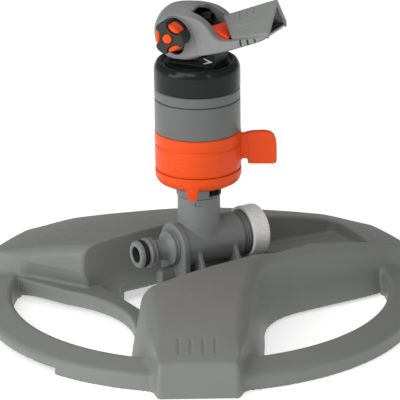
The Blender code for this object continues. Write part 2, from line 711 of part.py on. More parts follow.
def make_nipple():
    groove = NIPPLE_FRONT_X + 3.0
    ridge = groove + 2 * O_RING_WIRE_R + 0.7
    flange = PLATE_X - FIT
    front = flange - NIPPLE_FLANGE_T
    profile = [(NIPPLE_SPIGOT_R, NIPPLE_SPIGOT_X), (NIPPLE_SPIGOT_R, flange), (NIPPLE_FLANGE_R, flange),
               (NIPPLE_FLANGE_R, front + 0.4), (NIPPLE_FLANGE_R - 0.5, front), (NIPPLE_NECK_R + 2.1, front - 1.7),
               (NIPPLE_NECK_R + 0.8, front - 3.6), (NIPPLE_NECK_R, front - 6.4),
               (NIPPLE_NECK_R, ridge + 5.4),
               (NIPPLE_RIDGE_R, ridge + 3.6), (NIPPLE_RIDGE_R, ridge + 1.6), (NIPPLE_LAND_R, ridge + 0.9),
               (NIPPLE_LAND_R, ridge), (NIPPLE_LAND_R - 1.9, ridge), (NIPPLE_LAND_R - 1.9, groove),
               (NIPPLE_LAND_R, groove), (NIPPLE_LAND_R, NIPPLE_FRONT_X + 1.0),
               (NIPPLE_LAND_R - 1.2, NIPPLE_FRONT_X),
               (NIPPLE_BORE_R + 0.6, NIPPLE_FRONT_X), (NIPPLE_BORE_R, NIPPLE_FRONT_X + 0.8),
               (NIPPLE_BORE_R, NIPPLE_SPIGOT_X - 6.0), (NIPPLE_SPIGOT_R - 1.4, NIPPLE_SPIGOT_X - 5.0),
               (NIPPLE_SPIGOT_R - 1.4, NIPPLE_SPIGOT_X)]
    turned("hose_nipple", profile, GREY, tee_axis, steps=20, along_x=True)
    o_ring("nipple_o_ring", NIPPLE_LAND_R - 1.9 + O_RING_WIRE_R + 0.12, groove + O_RING_WIRE_R + 0.35,
           O_RING_WIRE_R - 0.2, tee_axis, along_x=True)
    top = NIPPLE_SPIGOT_X - 0.2
    outer = NIPPLE_SPIGOT_R - 1.4 - FIT
    cup = [(0.0, top + 8.6), (3.4, top + 8.0), (4.3, top), (outer, top), (outer, top - 3.6),
           (outer - SIEVE_WALL, top - 3.6), (outer - SIEVE_WALL, top - SIEVE_WALL), (3.4, top - SIEVE_WALL),
           (2.6, top + 7.0), (0.0, top + 7.6)]
    turned("inlet_sieve", cup, LIGHT_GREY, tee_axis, steps=32, along_x=True)


def o_ring(name, radius, height, wire, parent, along_x=False, steps=32):
    profile = [(radius + wire * math.cos(-TAU * i / 6),
                height + wire * math.sin(-TAU * i / 6)) for i in range(6)]
    return turned(name, profile, RUBBER, parent, steps=steps, along_x=along_x)


def make_end_cap():
    end = CAP_START_X + CAP_LENGTH
    seal_start = THREAD_END_X + FIT
    points = []
    for i in range(CAP_RIBS * 2):
        points.append(polar(CAP_R if i % 2 else CAP_R - CAP_RIB_H, 180.0 * i / CAP_RIBS))
    cap = plate("end_cap", points, CAP_START_X + 2.2, end - 0.8, LIGHT_GREY, cap_axis, upright(0.0))
    rims = turned("cap_rims",
                  [(0.0, end), (CAP_R - 1.4, end), (CAP_R - 0.6, end - 1.4),
                   (CAP_R - 0.6, CAP_START_X + 2.6),
                               (CAP_R + 0.1, CAP_START_X + 2.4), (CAP_R + 0.1, CAP_START_X + 0.4),
                               (CAP_R - 0.3, CAP_START_X), (0.0, CAP_START_X)], parent=cap_axis,
                               steps=48, along_x=True)
    bore = rod("cap_bore", THREAD_R + FIT, (CAP_START_X - 3.0, 0, 0), (end - CAP_END_WALL, 0, 0),
               parent=cap_axis,
               sides=32)
    combine(cap, "UNION", [rims])
    combine(cap, "DIFFERENCE", [bore])
    turned("cap_seal",
           [(THREAD_R - 0.4, seal_start + SEAL_T), (THREAD_R - 0.4, seal_start),
            (TEE_BORE_R - 1.0, seal_start),
                        (TEE_BORE_R - 1.0, seal_start + SEAL_T)], RUBBER, seal_axis, steps=40, along_x=True)


# Column


def make_neck():
    bottom = RISER_TOP_Z + FIT
    spigot_r = RISER_BORE_R - FIT
    neck = turned("neck_collar", [
        (STEM_R, STEM_TOP_Z), (STEM_R, NECK_TOP_Z), (NECK_R, NECK_TOP_Z), (NECK_R, bottom + 0.4),
        (NECK_R - 0.4, bottom), (spigot_r, bottom), (spigot_r, bottom - NECK_SPIGOT_H),
        (spigot_r - 1.5, bottom - NECK_SPIGOT_H), (STEM_BORE_R - 0.4, bottom), (STEM_BORE_R, STEM_TOP_Z)],
        GREY, steps=32)
    slot = sector("lever_slot", LEVER_SLOT_R, NECK_R + 5.0, LEVER_AZ, LEVER_SLOT_HALF_DEG, *LEVER_SLOT_Z)
    combine(neck, "DIFFERENCE", [slot])
    low, high = LEVER_SLOT_Z[0] + FIT, LEVER_SLOT_Z[1] - FIT
    lever = sector("trip_lever", LEVER_SLOT_R + FIT, NECK_R - 1.0, LEVER_AZ, LEVER_HALF_DEG, low, high,
                   BLACK)
    tip = sector("lever_tip", NECK_R - 2.0, LEVER_TIP_R, LEVER_AZ, 5.0, low, high)
    combine(lever, "UNION", [tip])
    turned("neck_seal",
           [(STEM_R + 3.6, STEM_TOP_Z - 0.2), (STEM_R + 4.0, HOUSING_BOTTOM_Z + HOUSING_FLOOR_T + FIT),
            (STEM_R + FIT, HOUSING_BOTTOM_Z + HOUSING_FLOOR_T + FIT), (STEM_R + FIT, STEM_TOP_Z - 0.2)],
           RUBBER, steps=40)


def sector(name, inner, outer, middle, half, low, high, finish=None, parent=None):
    """A flat piece of a ring, standing between two heights."""
    count = max(4, int(half / 3) + 2)
    points = arc((0, 0), outer, middle - half, middle + half, count)
    points += arc((0, 0), inner, middle + half, middle - half, count)
    return plate(name, points, low, high, finish, parent)


def make_housing():
    bore = STEM_R + FIT
    floor_top = HOUSING_BOTTOM_Z + HOUSING_FLOOR_T
    turned("turret_housing", [
        (SPIGOT_R, SPIGOT_TOP_Z), (SPIGOT_R, HOUSING_TOP_Z), (HOUSING_R - 0.4, HOUSING_TOP_Z),
        (HOUSING_R, HOUSING_TOP_Z - 0.4), (HOUSING_R, GROOVE_TOP_Z), (HOUSING_GROOVE_R, GROOVE_TOP_Z),
        (HOUSING_GROOVE_R, HOUSING_BOTTOM_Z + 1.6), (HOUSING_GROOVE_R - 1.4, HOUSING_BOTTOM_Z),
        (bore, HOUSING_BOTTOM_Z), (bore, floor_top), (HOUSING_BORE_LOW_R, floor_top),
        (HOUSING_BORE_LOW_R, HOUSING_STEP_Z), (HOUSING_BORE_R, HOUSING_STEP_Z),
        (HOUSING_BORE_R, SPIGOT_TOP_Z)],
        GREY, turret, steps=36)
    inner = SPIGOT_R + FIT
    turned("band_ring", [(HOUSING_R - 0.4, BAND_TOP_Z), (HOUSING_R, BAND_TOP_Z - 0.4),
                         (HOUSING_R, HOUSING_TOP_Z + FIT + 0.4), (HOUSING_R - 0.4, HOUSING_TOP_Z + FIT),
                         (inner, HOUSING_TOP_Z + FIT), (inner, BAND_TOP_Z)], GREY, turret, steps=36)
    low = BAND_TOP_Z + FIT
    under = COLLAR_TOP_Z - COLLAR_TOP_T
    turned("top_collar", [
        (COLLAR_R - COLLAR_SHOULDER, COLLAR_RIM_Z), (COLLAR_R - 1.6, COLLAR_RIM_Z - 0.9),
        (COLLAR_R - 0.4, COLLAR_RIM_Z - 2.6),
        (COLLAR_R, COLLAR_RIM_Z - 4.6), (COLLAR_R, low + 0.4), (COLLAR_R - 0.4, low), (inner, low),
        (inner, under),
        (DUCT_R, under), (DUCT_R, COLLAR_TOP_Z), (COLLAR_R - COLLAR_SHOULDER - 1.2, COLLAR_TOP_Z),
        (COLLAR_R - COLLAR_SHOULDER - 0.6, COLLAR_RIM_Z)], BLACK, turret, steps=36)
    wire = (under - SPIGOT_TOP_Z) / 2 - FIT
    o_ring("housing_o_ring", SPIGOT_R - wire, (under + SPIGOT_TOP_Z) / 2, wire, turret, steps=40)


# Sector rings


def make_sector_rings():
    inner = HOUSING_GROOVE_R + FIT
    split = SECTOR_SPLIT_Z + FIT
    upper = turned("sector_ring_upper", [
        (SECTOR_R - 0.3, SECTOR_TOP_Z), (SECTOR_R, SECTOR_TOP_Z - 0.4), (SECTOR_R, 109.4),
        (SECTOR_R - 0.7, 108.8),
        (SECTOR_R - 0.7, 108.0), (SECTOR_R, 107.4), (SECTOR_R, split + 2.4), (SECTOR_R - 0.7, split + 1.6),
        (SECTOR_R - 0.7, split), (inner, split), (inner, SECTOR_TOP_Z)], ORANGE, turret, steps=36)
    start = inner + 0.8
    corner = TAB_CORNER_R
    low = TAB_LOW_CORNER_R
    outline = [(start, TAB_ROOT_Z), (TAB_FOLD_X, TAB_ROOT_Z), (TAB_FOLD_X, TAB_BOTTOM_Z)]
    outline += arc((TAB_REACH - low, TAB_BOTTOM_Z + low), low, -90, 0, 4)
    outline += arc((TAB_REACH - corner, TAB_TOP_Z - corner), corner, 0, 90, 7)
    outline += [(TAB_FOLD_X, TAB_TOP_Z - 0.4), (start, TAB_TOP_Z - 2.4)]
    stand = Matrix.Rotation(math.radians(TAB_AZ), 4, "Z") @ Matrix.Rotation(math.radians(90), 4, "X")
    tab = plate("lever_tab", outline, -TAB_T / 2, TAB_T / 2, parent=turret, matrix=stand)
    round_edges(tab, 0.7, 2)
    combine(upper, "UNION", [tab])

    lower = turned("sector_ring_lower", [
        (SECTOR_R - 0.5, SECTOR_SPLIT_Z), (SECTOR_R, SECTOR_SPLIT_Z - 0.5),
        (SECTOR_R, SECTOR_BOTTOM_Z + 3.8),
        (SECTOR_R - 0.8, SECTOR_BOTTOM_Z + 1.4), (SECTOR_R - 1.9, SECTOR_BOTTOM_Z),
        (inner, SECTOR_BOTTOM_Z),
        (inner, SECTOR_SPLIT_Z)], ORANGE, turret, steps=36)
    top = SECTOR_BOTTOM_Z + 3.0
    tip_r = HOUSING_GROOVE_R - 0.7
    root_r = HOUSING_GROOVE_R + FIT + 0.4
    lower_edge = [(tip_r, -POINTER_HALF_TIP), (tip_r + POINTER_T, -POINTER_HALF_TIP),
                  (tip_r + POINTER_T, POINTER_HALF_TIP), (tip_r, POINTER_HALF_TIP)]
    upper_edge = [(root_r, -POINTER_HALF_TOP), (root_r + 1.6, -POINTER_HALF_TOP),
                  (root_r + 1.6, POINTER_HALF_TOP), (root_r, POINTER_HALF_TOP)]
    pointer = lofted("pointer_tab", lower_edge, upper_edge, POINTER_TIP_Z, top, parent=turret)
    pointer.rotation_euler = (0, 0, math.radians(POINTER_AZ))
    combine(lower, "UNION", [pointer])


# Turbine and gears


def gear_outline(teeth, phase):
    """A gear's outline with four points a tooth, turned by a phase in degrees."""
    pitch_r = GEAR_MODULE * teeth / 2
    points = []
    for i in range(teeth):
        middle = phase + 360.0 * i / teeth
        for radius, width, side in ((pitch_r - TOOTH_DEDENDUM, TOOTH_WIDTH + 0.12, -1),
                                    (pitch_r + TOOTH_ADDENDUM, TOOTH_TIP_WIDTH, -1),
                                    (pitch_r + TOOTH_ADDENDUM, TOOTH_TIP_WIDTH, 1),
                                    (pitch_r - TOOTH_DEDENDUM, TOOTH_WIDTH + 0.12, 1)):
            points.append(polar(radius, middle + side * math.degrees(width / 2 / radius)))
    return points


def compound_gear(name, parent, wheel_z, pinion_low, pinion_high, wheel_phase, pinion_phase, finish=ACETAL):
    """A wheel with a pinion on top, bored for its axle."""
    wheel = plate(name, gear_outline(WHEEL_TEETH, wheel_phase), wheel_z, wheel_z + WHEEL_T, finish, parent)
    pinion = plate(f"{name}_pinion", gear_outline(PINION_TEETH, pinion_phase), pinion_low, pinion_high,
                   parent=parent)
    bore = rod(f"{name}_bore", AXLE_BORE_R, (0, 0, wheel_z - 5.0), (0, 0, pinion_high + 5.0),
               parent=parent, sides=12)
    combine(wheel, "UNION", [pinion])
    combine(wheel, "DIFFERENCE", [bore])
    return wheel


def make_drive():
    stator_low, stator_high = STATOR_Z
    stator = turned("inlet_stator", [
        (STATOR_R, stator_high), (STATOR_R, stator_low), (STEM_BORE_R + 0.6, stator_low),
        (STEM_BORE_R + 0.6, stator_high)], DARK_GREY, steps=24)
    hub = rod("stator_hub", STATOR_HUB_R, (0, 0, stator_low), (0, 0, stator_high + 2.4), sides=24)
    vanes = []
    half_h = (stator_high - stator_low) / 2
    for i in range(STATOR_VANES):
        vane = box(f"stator_vane_{i + 1}", (STATOR_HUB_R - 1.0, -0.6, 0.1 - half_h),
                   (STEM_BORE_R + 1.6, 0.6, half_h - 0.1))
        vane.location = (0, 0, (stator_low + half_h) * MM)
        vane.rotation_euler = (math.radians(28), 0, TAU * i / STATOR_VANES)
        vanes.append(vane)
    socket = rod("axle_socket", AXLE_R + FIT, (0, 0, AXLE_BOTTOM_Z - FIT), (0, 0, stator_high + 5.0),
                 sides=20)
    combine(stator, "UNION", [hub] + vanes)
    combine(stator, "DIFFERENCE", [socket])
    rod("axle_pin", AXLE_R, (0, 0, AXLE_BOTTOM_Z), (0, 0, AXLE_TOP_Z), STEEL, sides=20)

    low, high = TURBINE_Z
    wheel = turned("turbine_wheel", [
        (TURBINE_R - 1.6, high), (TURBINE_R - 1.6, high - 1.2), (TURBINE_HUB_R, high - 1.6),
        (TURBINE_HUB_R, low),
        (AXLE_BORE_R, low), (AXLE_BORE_R, high)], ORANGE, turret, steps=24)
    blades = []
    for i in range(TURBINE_BLADES):
        blade = box(f"turbine_blade_{i + 1}", (TURBINE_HUB_R - 0.8, -0.55, low + 0.4),
                    (TURBINE_R, 0.55, high - 0.6),
                    parent=turret)
        blade.rotation_euler = (0, 0, TAU * i / TURBINE_BLADES)
        blades.append(blade)
    pinion = plate("turbine_pinion", gear_outline(PINION_TEETH, POST_AZ), high - 1.0,
                   TURBINE_PINION_TOP_Z, parent=turret)
    bore = rod("turbine_bore", AXLE_BORE_R, (0, 0, high - 4.0), (0, 0, TURBINE_PINION_TOP_Z + 3.0),
               parent=turret, sides=12)
    combine(wheel, "UNION", blades + [pinion])
    combine(wheel, "DIFFERENCE", [bore])

    # A wheel has a gap where the pinion it meets has a tooth, on the line between the two axes
    to_axle = POST_AZ + 180.0
    gap = 180.0 / WHEEL_TEETH
    compound_gear("idler_gear_low", post, WHEEL_1_Z, WHEEL_1_Z + 1.0, PINION_1_TOP_Z, to_axle + gap,
                  to_axle)
    compound_gear("axle_gear", turret, WHEEL_2_Z, WHEEL_2_Z + 1.0, PINION_2_TOP_Z, POST_AZ + gap, POST_AZ)
    compound_gear("idler_gear_high", post, WHEEL_3_Z, WHEEL_3_Z + 1.0, PINION_3_TOP_Z, to_axle + gap,
                  to_axle)
    sun = plate("fixed_sun_gear", gear_outline(WHEEL_TEETH, POST_AZ + gap), SUN_Z, SUN_Z + WHEEL_T, BLACK)
    sun_bore = rod("sun_bore", AXLE_R + FIT, (0, 0, SUN_Z - 2.0), (0, 0, SUN_Z + WHEEL_T + 2.0), sides=20)
    combine(sun, "DIFFERENCE", [sun_bore])

    flange_low = HOUSING_STEP_Z + FIT
    case_floor = CASE_FLOOR_Z + CASE_FLOOR_T
    case = turned("gear_case", [
        (CASE_R, CASE_TOP_Z), (CASE_R, flange_low + CASE_FLANGE_T),
        (HOUSING_BORE_R - FIT, flange_low + CASE_FLANGE_T),
        (HOUSING_BORE_R - FIT, flange_low), (CASE_R, flange_low), (CASE_R, CASE_FLOOR_Z),
        (CASE_HOLE_R, CASE_FLOOR_Z),
        (CASE_HOLE_R, case_floor), (CASE_BORE_R, case_floor), (CASE_BORE_R, CASE_TOP_Z)], DARK_GREY,
        turret, steps=28)
    seat = rod("post_seat", AXLE_R + FIT, (0, 0, CASE_FLOOR_Z + 0.8), (0, 0, case_floor + 3.0),
               parent=post, sides=20)
    combine(case, "DIFFERENCE", [seat])
    rod("gear_post", AXLE_R, (0, 0, CASE_FLOOR_Z + 0.8 + FIT), (0, 0, POST_TOP_Z), STEEL, post, sides=20)
    lid_low = CASE_TOP_Z + FIT
    lid = turned("gear_case_lid", [
        (0.0, lid_low + LID_T), (CASE_R, lid_low + LID_T), (CASE_R, lid_low), (CASE_BORE_R - FIT, lid_low),
        (CASE_BORE_R - FIT, lid_low - 0.6), (CASE_BORE_R - 1.6, lid_low - 0.6),
        (CASE_BORE_R - 1.6, lid_low), (0.0, lid_low)],
        DARK_GREY, turret, steps=28)
    lid_seat = rod("post_lid_seat", AXLE_R + FIT, (0, 0, lid_low - 2.0), (0, 0, POST_TOP_Z + FIT),
                   parent=post, sides=20)
    combine(lid, "DIFFERENCE", [lid_seat])


# Head


def side_plate(name, points, left, right, finish=None, bevel=0.0):
    """An outline drawn in forward and height, standing between two distances to the left of the head."""
    matrix = Matrix(((1, 0, 0, 0), (0, 0, -1, 0), (0, 1, 0, 0), (0, 0, 0, 1)))
    obj = plate(name, points, -right, -left, finish, head, matrix)
    if bevel:
        round_edges(obj, bevel)
    return obj


def shell_outline():
    """Side of the head: the drum round the selector, and the arm that carries the deflector."""
    points = arc((DRUM_X, DRUM_Z), DRUM_R, 62, 282, 20)
    points += [(8.0, 167.0), (18.0, 169.4), (28.0, 172.4), (37.0, 176.0), (47.0, 179.8), (51.0, 182.1)]
    points += [(ARM_TIP_X + 0.2, 184.4), (ARM_TIP_X - 0.6, 184.8), (42.0, 182.1), (34.0, 180.0), (29.5, 179.1)]
    points += [(24.5, 178.4), (20.6, 179.6), (18.2, 182.2), (16.0, 185.6), (12.4, 188.6), (8.0, 190.6)]
    return points


def shell_plan():
    """Top view of the head: full width at the drum, narrowing to the arm's tip."""
    half, tip = HEAD_HALF_W, ARM_TIP_HALF_W
    points = [(-30.0, -half), (14.0, -half), (30.0, -half + 1.6), (70.0, -tip + 2.4)]
    return points + [(x, -y) for x, y in reversed(points)]


def barrel(name, wall, finish=None):
    """The head's rounded back, turned about the selector's axis and bulging between the two sides."""
    half = HEAD_HALF_W - wall
    bulge = ((DRUM_R - 1.2, half), (DRUM_R, half - 1.0), (BARREL_SHOULDER_R, 12.0), (BARREL_R - 0.7, 6.0))
    right = [(radius - wall, at) for radius, at in bulge]
    profile = [(0.0, half)] + right + [(BARREL_R - wall, 0.0)]
    profile += [(radius, -at) for radius, at in reversed(right)] + [(0.0, -half)]
    obj = turned(name, profile, finish, head, steps=26)
    made = obj.evaluated_get(bpy.context.evaluated_depsgraph_get())
    mesh = bpy.data.meshes.new_from_object(made)
    obj.modifiers.clear()
    obj.data = mesh
    for vertex in mesh.vertices:
        if vertex.co.y < 0:
            vertex.co.y *= BARREL_FLAT
    obj.location = (BARREL_X * MM, 0, DRUM_Z * MM)
    obj.rotation_euler = (math.radians(-90), 0, 0)
    return obj


def make_head():
    base_low = COLLAR_TOP_Z + FIT
    body = turned("head_body", [
        (TOWER_R + 2.0, base_low + 1.6), (TOWER_R + 4.0, base_low + 0.4), (TOWER_R + 4.0, base_low),
        (CORE_BORE_R, base_low),
        (CORE_BORE_R, base_low + 1.6)], BLACK, turret, steps=40)
    tower = box("head_tower", (TOWER_X[0], -TOWER_HALF_W, base_low + 0.4),
                (TOWER_X[1], TOWER_HALF_W, TOWER_TOP_Z), parent=head)
    pillar = box("head_pillar", (PILLAR_X[0], PILLAR_Y[0], PILLAR_BOTTOM_Z),
                 (PILLAR_X[1], PILLAR_Y[1], PILLAR_TOP_Z), parent=head)
    foot = box("head_pillar_foot", (PILLAR_X[0] - 1.0, PILLAR_Y[0] + 0.5, base_low + 0.8),
               (PILLAR_FOOT_X, PILLAR_Y[1] - 0.5, PILLAR_BOTTOM_Z + 2.0), parent=head)
    core = box("head_core", (CORE_X[0], CORE_Y[0], TOWER_TOP_Z - 3.0),
               (CORE_X[1], CORE_Y[1], CORE_TOP_Z), parent=head)
    combine(body, "UNION", [tower, pillar, foot, core])
    nozzle_at = Vector((NOZZLE_START[0], 0, NOZZLE_START[1]))
    jet = Vector((math.cos(math.radians(JET_TILT)), 0, math.sin(math.radians(JET_TILT))))
    duct = rod("head_duct", CORE_BORE_R, (0, 0, base_low - 2.0), (0, 0, DRUM_Z), sides=24, parent=turret)
    mouth = rod("head_mouth", NOZZLE_BORE_R, nozzle_at - jet * 6.0, nozzle_at + jet * 3.0, parent=head,
                sides=24)
    combine(body, "DIFFERENCE", [duct, mouth])

    # The shell starts as its rounded back, and the arm with its side walls is joined to it
    shell = barrel("head_shell", 0.0, HEAD_GREY)
    sides = side_plate("shell_sides", shell_outline(), -HEAD_HALF_W, HEAD_HALF_W)
    trim = plate("shell_plan", shell_plan(), 120.0, 240.0, parent=head)
    combine(sides, "INTERSECT", [trim])
    inside = barrel("shell_inside", SHELL_WALL)
    below = box("shell_below", (-60.0, -60.0, 120.0), (60.0, 60.0, SHELL_BOTTOM_Z), parent=head)
    under = box("shell_under", (TOWER_X[0] - FIT, -TOWER_HALF_W - FIT, 150.0),
                (PILLAR_X[1] + FIT, TOWER_HALF_W + FIT, PILLAR_TOP_Z + FIT), parent=head)
    cavity = side_plate("shell_cavity",
                        [(CAVITY_X[0], 182.6), (CAVITY_X[0] - 2.0, 215.0), (CAVITY_X[1], 215.0),
                         (CAVITY_X[1], 183.4), (44.0, 180.1), (36.0, 176.8), (26.0, 173.6), (8.0, 172.0)],
                        -CAVITY_HALF_W, CAVITY_HALF_W)
    recess = rod("selector_recess", RECESS_R, (KNOB_X, -HEAD_HALF_W - 5.0, KNOB_Z),
                 (KNOB_X, -HEAD_HALF_W + RECESS_DEPTH, KNOB_Z), parent=head, sides=32)
    combine(shell, "UNION", [sides])
    combine(shell, "DIFFERENCE", [inside, cavity, under, below, recess])

    start = nozzle_at + jet * FIT
    nozzle = rod("nozzle_tube", NOZZLE_R, start, start + jet * NOZZLE_LENGTH, BLACK, head, sides=32,
                 end_radius=NOZZLE_R - 1.0)
    bore = rod("nozzle_bore", NOZZLE_BORE_R, start - jet * 3.0, start + jet * (NOZZLE_LENGTH + 3.0),
               parent=head, sides=24)
    flat = box("nozzle_flat", (-10.0, -10.0, 160.0), (CORE_X[1] + FIT, 10.0, 200.0), parent=head)
    combine(nozzle, "DIFFERENCE", [bore, flat])
    x, z = CLIP_XZ
    arrow = [(x, z + 1.6), (x + 1.4, z + 1.6), (x + 6.2, z), (x + 1.4, z - 1.6), (x, z - 1.6), (x + 4.0, z)]
    side_plate("head_clip", arrow, -TOWER_HALF_W - FIT - 1.0, -TOWER_HALF_W - FIT, LIGHT_GREY)


def make_selector():
    back = HEAD_HALF_W - RECESS_DEPTH + FIT + 1.7
    front = HEAD_HALF_W + KNOB_REACH
    to_side = Matrix.Rotation(math.radians(90), 4, "X")
    points = []
    for i in range(48):
        angle = 360.0 * i / 48
        points.append(polar(KNOB_R - KNOB_LOBE + KNOB_LOBE * math.cos(math.radians(3 * angle)), angle))
    knob = plate("nozzle_selector", points, back + KNOB_BASE_T - 1.0, front, BLACK, selector, to_side)
    disc = rod("selector_disc", RECESS_R - FIT, (0, -back, 0), (0, -back - KNOB_BASE_T, 0),
               parent=selector, sides=32)
    combine(knob, "UNION", [disc])
    pockets = []
    for i in range(3):
        turn = Matrix.Rotation(math.radians(-60.0 - 120.0 * i), 4, "Y")
        size = (INSERT_R - 2.6, INSERT_R + 0.9, INSERT_HALF_W)
        pocket = box(f"insert_pocket_{i + 1}", (size[0] - FIT, -front - 2.0, -size[2] - FIT),
                     (size[1] + 9.0, -front + INSERT_DEPTH, size[2] + FIT), parent=selector)
        insert = box(f"selector_insert_{i + 1}", (size[0], -front + 0.5, -size[2]),
                     (size[1], -front + INSERT_DEPTH - FIT, size[2]), ORANGE, selector, bevel=0.9)
        for piece in (pocket, insert):
            piece.matrix_basis = turn
        pockets.append(pocket)
    seat = rod("cap_pocket", KNOB_CAP_R + FIT, (0, -front - 2.0, 0), (0, -front + 2.0, 0),
               parent=selector, sides=28)
    combine(knob, "DIFFERENCE", pockets + [seat])
    rod("selector_cap", KNOB_CAP_R, (0, -front - KNOB_CAP_T, 0), (0, -front + 2.0 - FIT, 0), ORANGE,
        selector, sides=28)


def make_breaker_and_deflector():
    slope = math.tan(math.radians(BREAKER_SLOPE))
    x0, x1 = BREAKER_X
    rise = (x1 - x0) * slope
    low = BREAKER_Z - BREAKER_T
    outline = [(x1, low + 1.6), (x1, BREAKER_Z), (x0, BREAKER_Z + rise), (x0, low + rise), (x1 - 4.0, low)]
    outline = [(x - BREAKER_PIN[0], z - BREAKER_PIN[1]) for x, z in outline]
    matrix = Matrix(((1, 0, 0, 0), (0, 0, -1, 0), (0, 1, 0, 0), (0, 0, 0, 1)))
    breaker = plate("jet_breaker", outline, -BREAKER_HALF_W, BREAKER_HALF_W, ORANGE, breaker_pin, matrix)
    round_edges(breaker, 0.7)
    lip = x0 - BREAKER_PIN[0]
    skew = 2 * BREAKER_HALF_W * math.tan(math.radians(BREAKER_SKEW))
    corner = [(lip, -BREAKER_HALF_W), (lip + skew, BREAKER_HALF_W), (lip + skew, BREAKER_HALF_W + 5.0),
              (lip - 5.0, BREAKER_HALF_W + 5.0), (lip - 5.0, -BREAKER_HALF_W)]
    combine(breaker, "DIFFERENCE",
            [plate("breaker_corner", corner, -20.0, 30.0, parent=breaker_pin),
             rod("breaker_hole", PIN_R + FIT, (0, -30.0, 0), (0, 30.0, 0), parent=breaker_pin, sides=20)])
    rod("breaker_pin", PIN_R, (0, -CAVITY_HALF_W - 1.7, 0), (0, CAVITY_HALF_W + 1.7, 0), STEEL,
        breaker_pin, sides=20)

    roof = bpy.data.meshes.new("jet_deflector")
    bm = bmesh.new()
    rows = []
    for (ridge, skirt) in ((RIDGE_START, SKIRT_START), (RIDGE_END, SKIRT_END)):
        rows.append([bm.verts.new((skirt[0], -DEFLECTOR_HALF_W, skirt[1])),
                     bm.verts.new((ridge[0], 0, ridge[1])),
                     bm.verts.new((skirt[0], DEFLECTOR_HALF_W, skirt[1]))])
    for i in range(2):
        bm.faces.new((rows[0][i], rows[1][i], rows[1][i + 1], rows[0][i + 1]))
    bmesh.ops.transform(bm,
                        matrix=Matrix.Scale(MM,
                                            4) @ Matrix.Translation((-DEFLECTOR_PIN[0], 0, -DEFLECTOR_PIN[1])),
                        verts=bm.verts)
    bmesh.ops.recalc_face_normals(bm, faces=bm.faces)
    bm.to_mesh(roof)
    bm.free()
    deflector = add_object("jet_deflector", roof, HEAD_GREY, deflector_pin)
    thick = deflector.modifiers.new("wall", "SOLIDIFY")
    thick.thickness = DEFLECTOR_T * MM
    thick.offset = -1.0
    thick.use_even_offset = True
    ear_out = CAVITY_HALF_W - 0.4
    ears = []
    for i, side in enumerate((-1, 1), 1):
        near, far = sorted((side * ear_out, side * (ear_out - 2.4)))
        ears.append(box(f"deflector_ear_{i}", (-DEFLECTOR_EAR_R + 0.02, near, 0.0),
                        (DEFLECTOR_EAR_R - 0.02, far, 4.5), parent=deflector_pin))
        ears.append(rod(f"deflector_ear_end_{i}", DEFLECTOR_EAR_R, (0, near, 0), (0, far, 0),
                        parent=deflector_pin, sides=20))
    hole = rod("deflector_hole", PIN_R + FIT, (0, -30.0, 0), (0, 30.0, 0), parent=deflector_pin, sides=20)
    combine(deflector, "UNION", ears)
    combine(deflector, "DIFFERENCE", [hole])
    rod("deflector_pin", PIN_R, (0, -CAVITY_HALF_W - 1.7, 0), (0, CAVITY_HALF_W + 1.7, 0), STEEL,
        deflector_pin, sides=20)
    eyes = [rod("pin_eye", PIN_R + FIT, (0, -CAVITY_HALF_W - 2.0, 0), (0, CAVITY_HALF_W + 2.0, 0),
                parent=deflector_pin, sides=20),
            rod("breaker_eye", PIN_R + FIT, (0, -CAVITY_HALF_W - 2.0, 0), (0, CAVITY_HALF_W + 2.0, 0),
                parent=breaker_pin, sides=20)]
    combine(bpy.data.objects["head_shell"], "DIFFERENCE", eyes)


tee_plan = frame_empty("tee_plan", azimuth=TEE_AZ)
tee_axis = frame_empty("tee_axis", (0, 0, TEE_Z), TEE_AZ)
cap_axis = frame_empty("cap_axis", parent=tee_axis)
seal_axis = frame_empty("seal_axis", parent=tee_axis)
turret = frame_empty("turret")
post = frame_empty("post_axis", (*polar(GEAR_MODULE * (WHEEL_TEETH + PINION_TEETH) / 2, POST_AZ), 0),
                   parent=turret)
head = frame_empty("head_frame", azimuth=HEAD_AZ, parent=turret)
selector = frame_empty("selector_axis", (KNOB_X, 0, KNOB_Z), parent=head)
breaker_pin = frame_empty("breaker_axis", (BREAKER_PIN[0], 0, BREAKER_PIN[1]), parent=head)
deflector_pin = frame_empty("deflector_axis", (DEFLECTOR_PIN[0], 0, DEFLECTOR_PIN[1]), parent=head)

make_base()
make_tee()
make_nipple()
make_end_cap()
make_neck()
make_housing()
make_sector_rings()
make_drive()
make_head()
make_selector()
make_breaker_and_deflector()

for part in parts.objects:
    if part.type == "MESH":
        smooth(part)
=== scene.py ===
"""Turbine sprinkler on a ring sled, dressed for its picture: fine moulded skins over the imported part.

Lengths are in millimetres and angles in degrees, until a piece is set in the scene, which is in metres.
"""

import math

import bpy
import numpy as np
from mathutils import Matrix, Vector


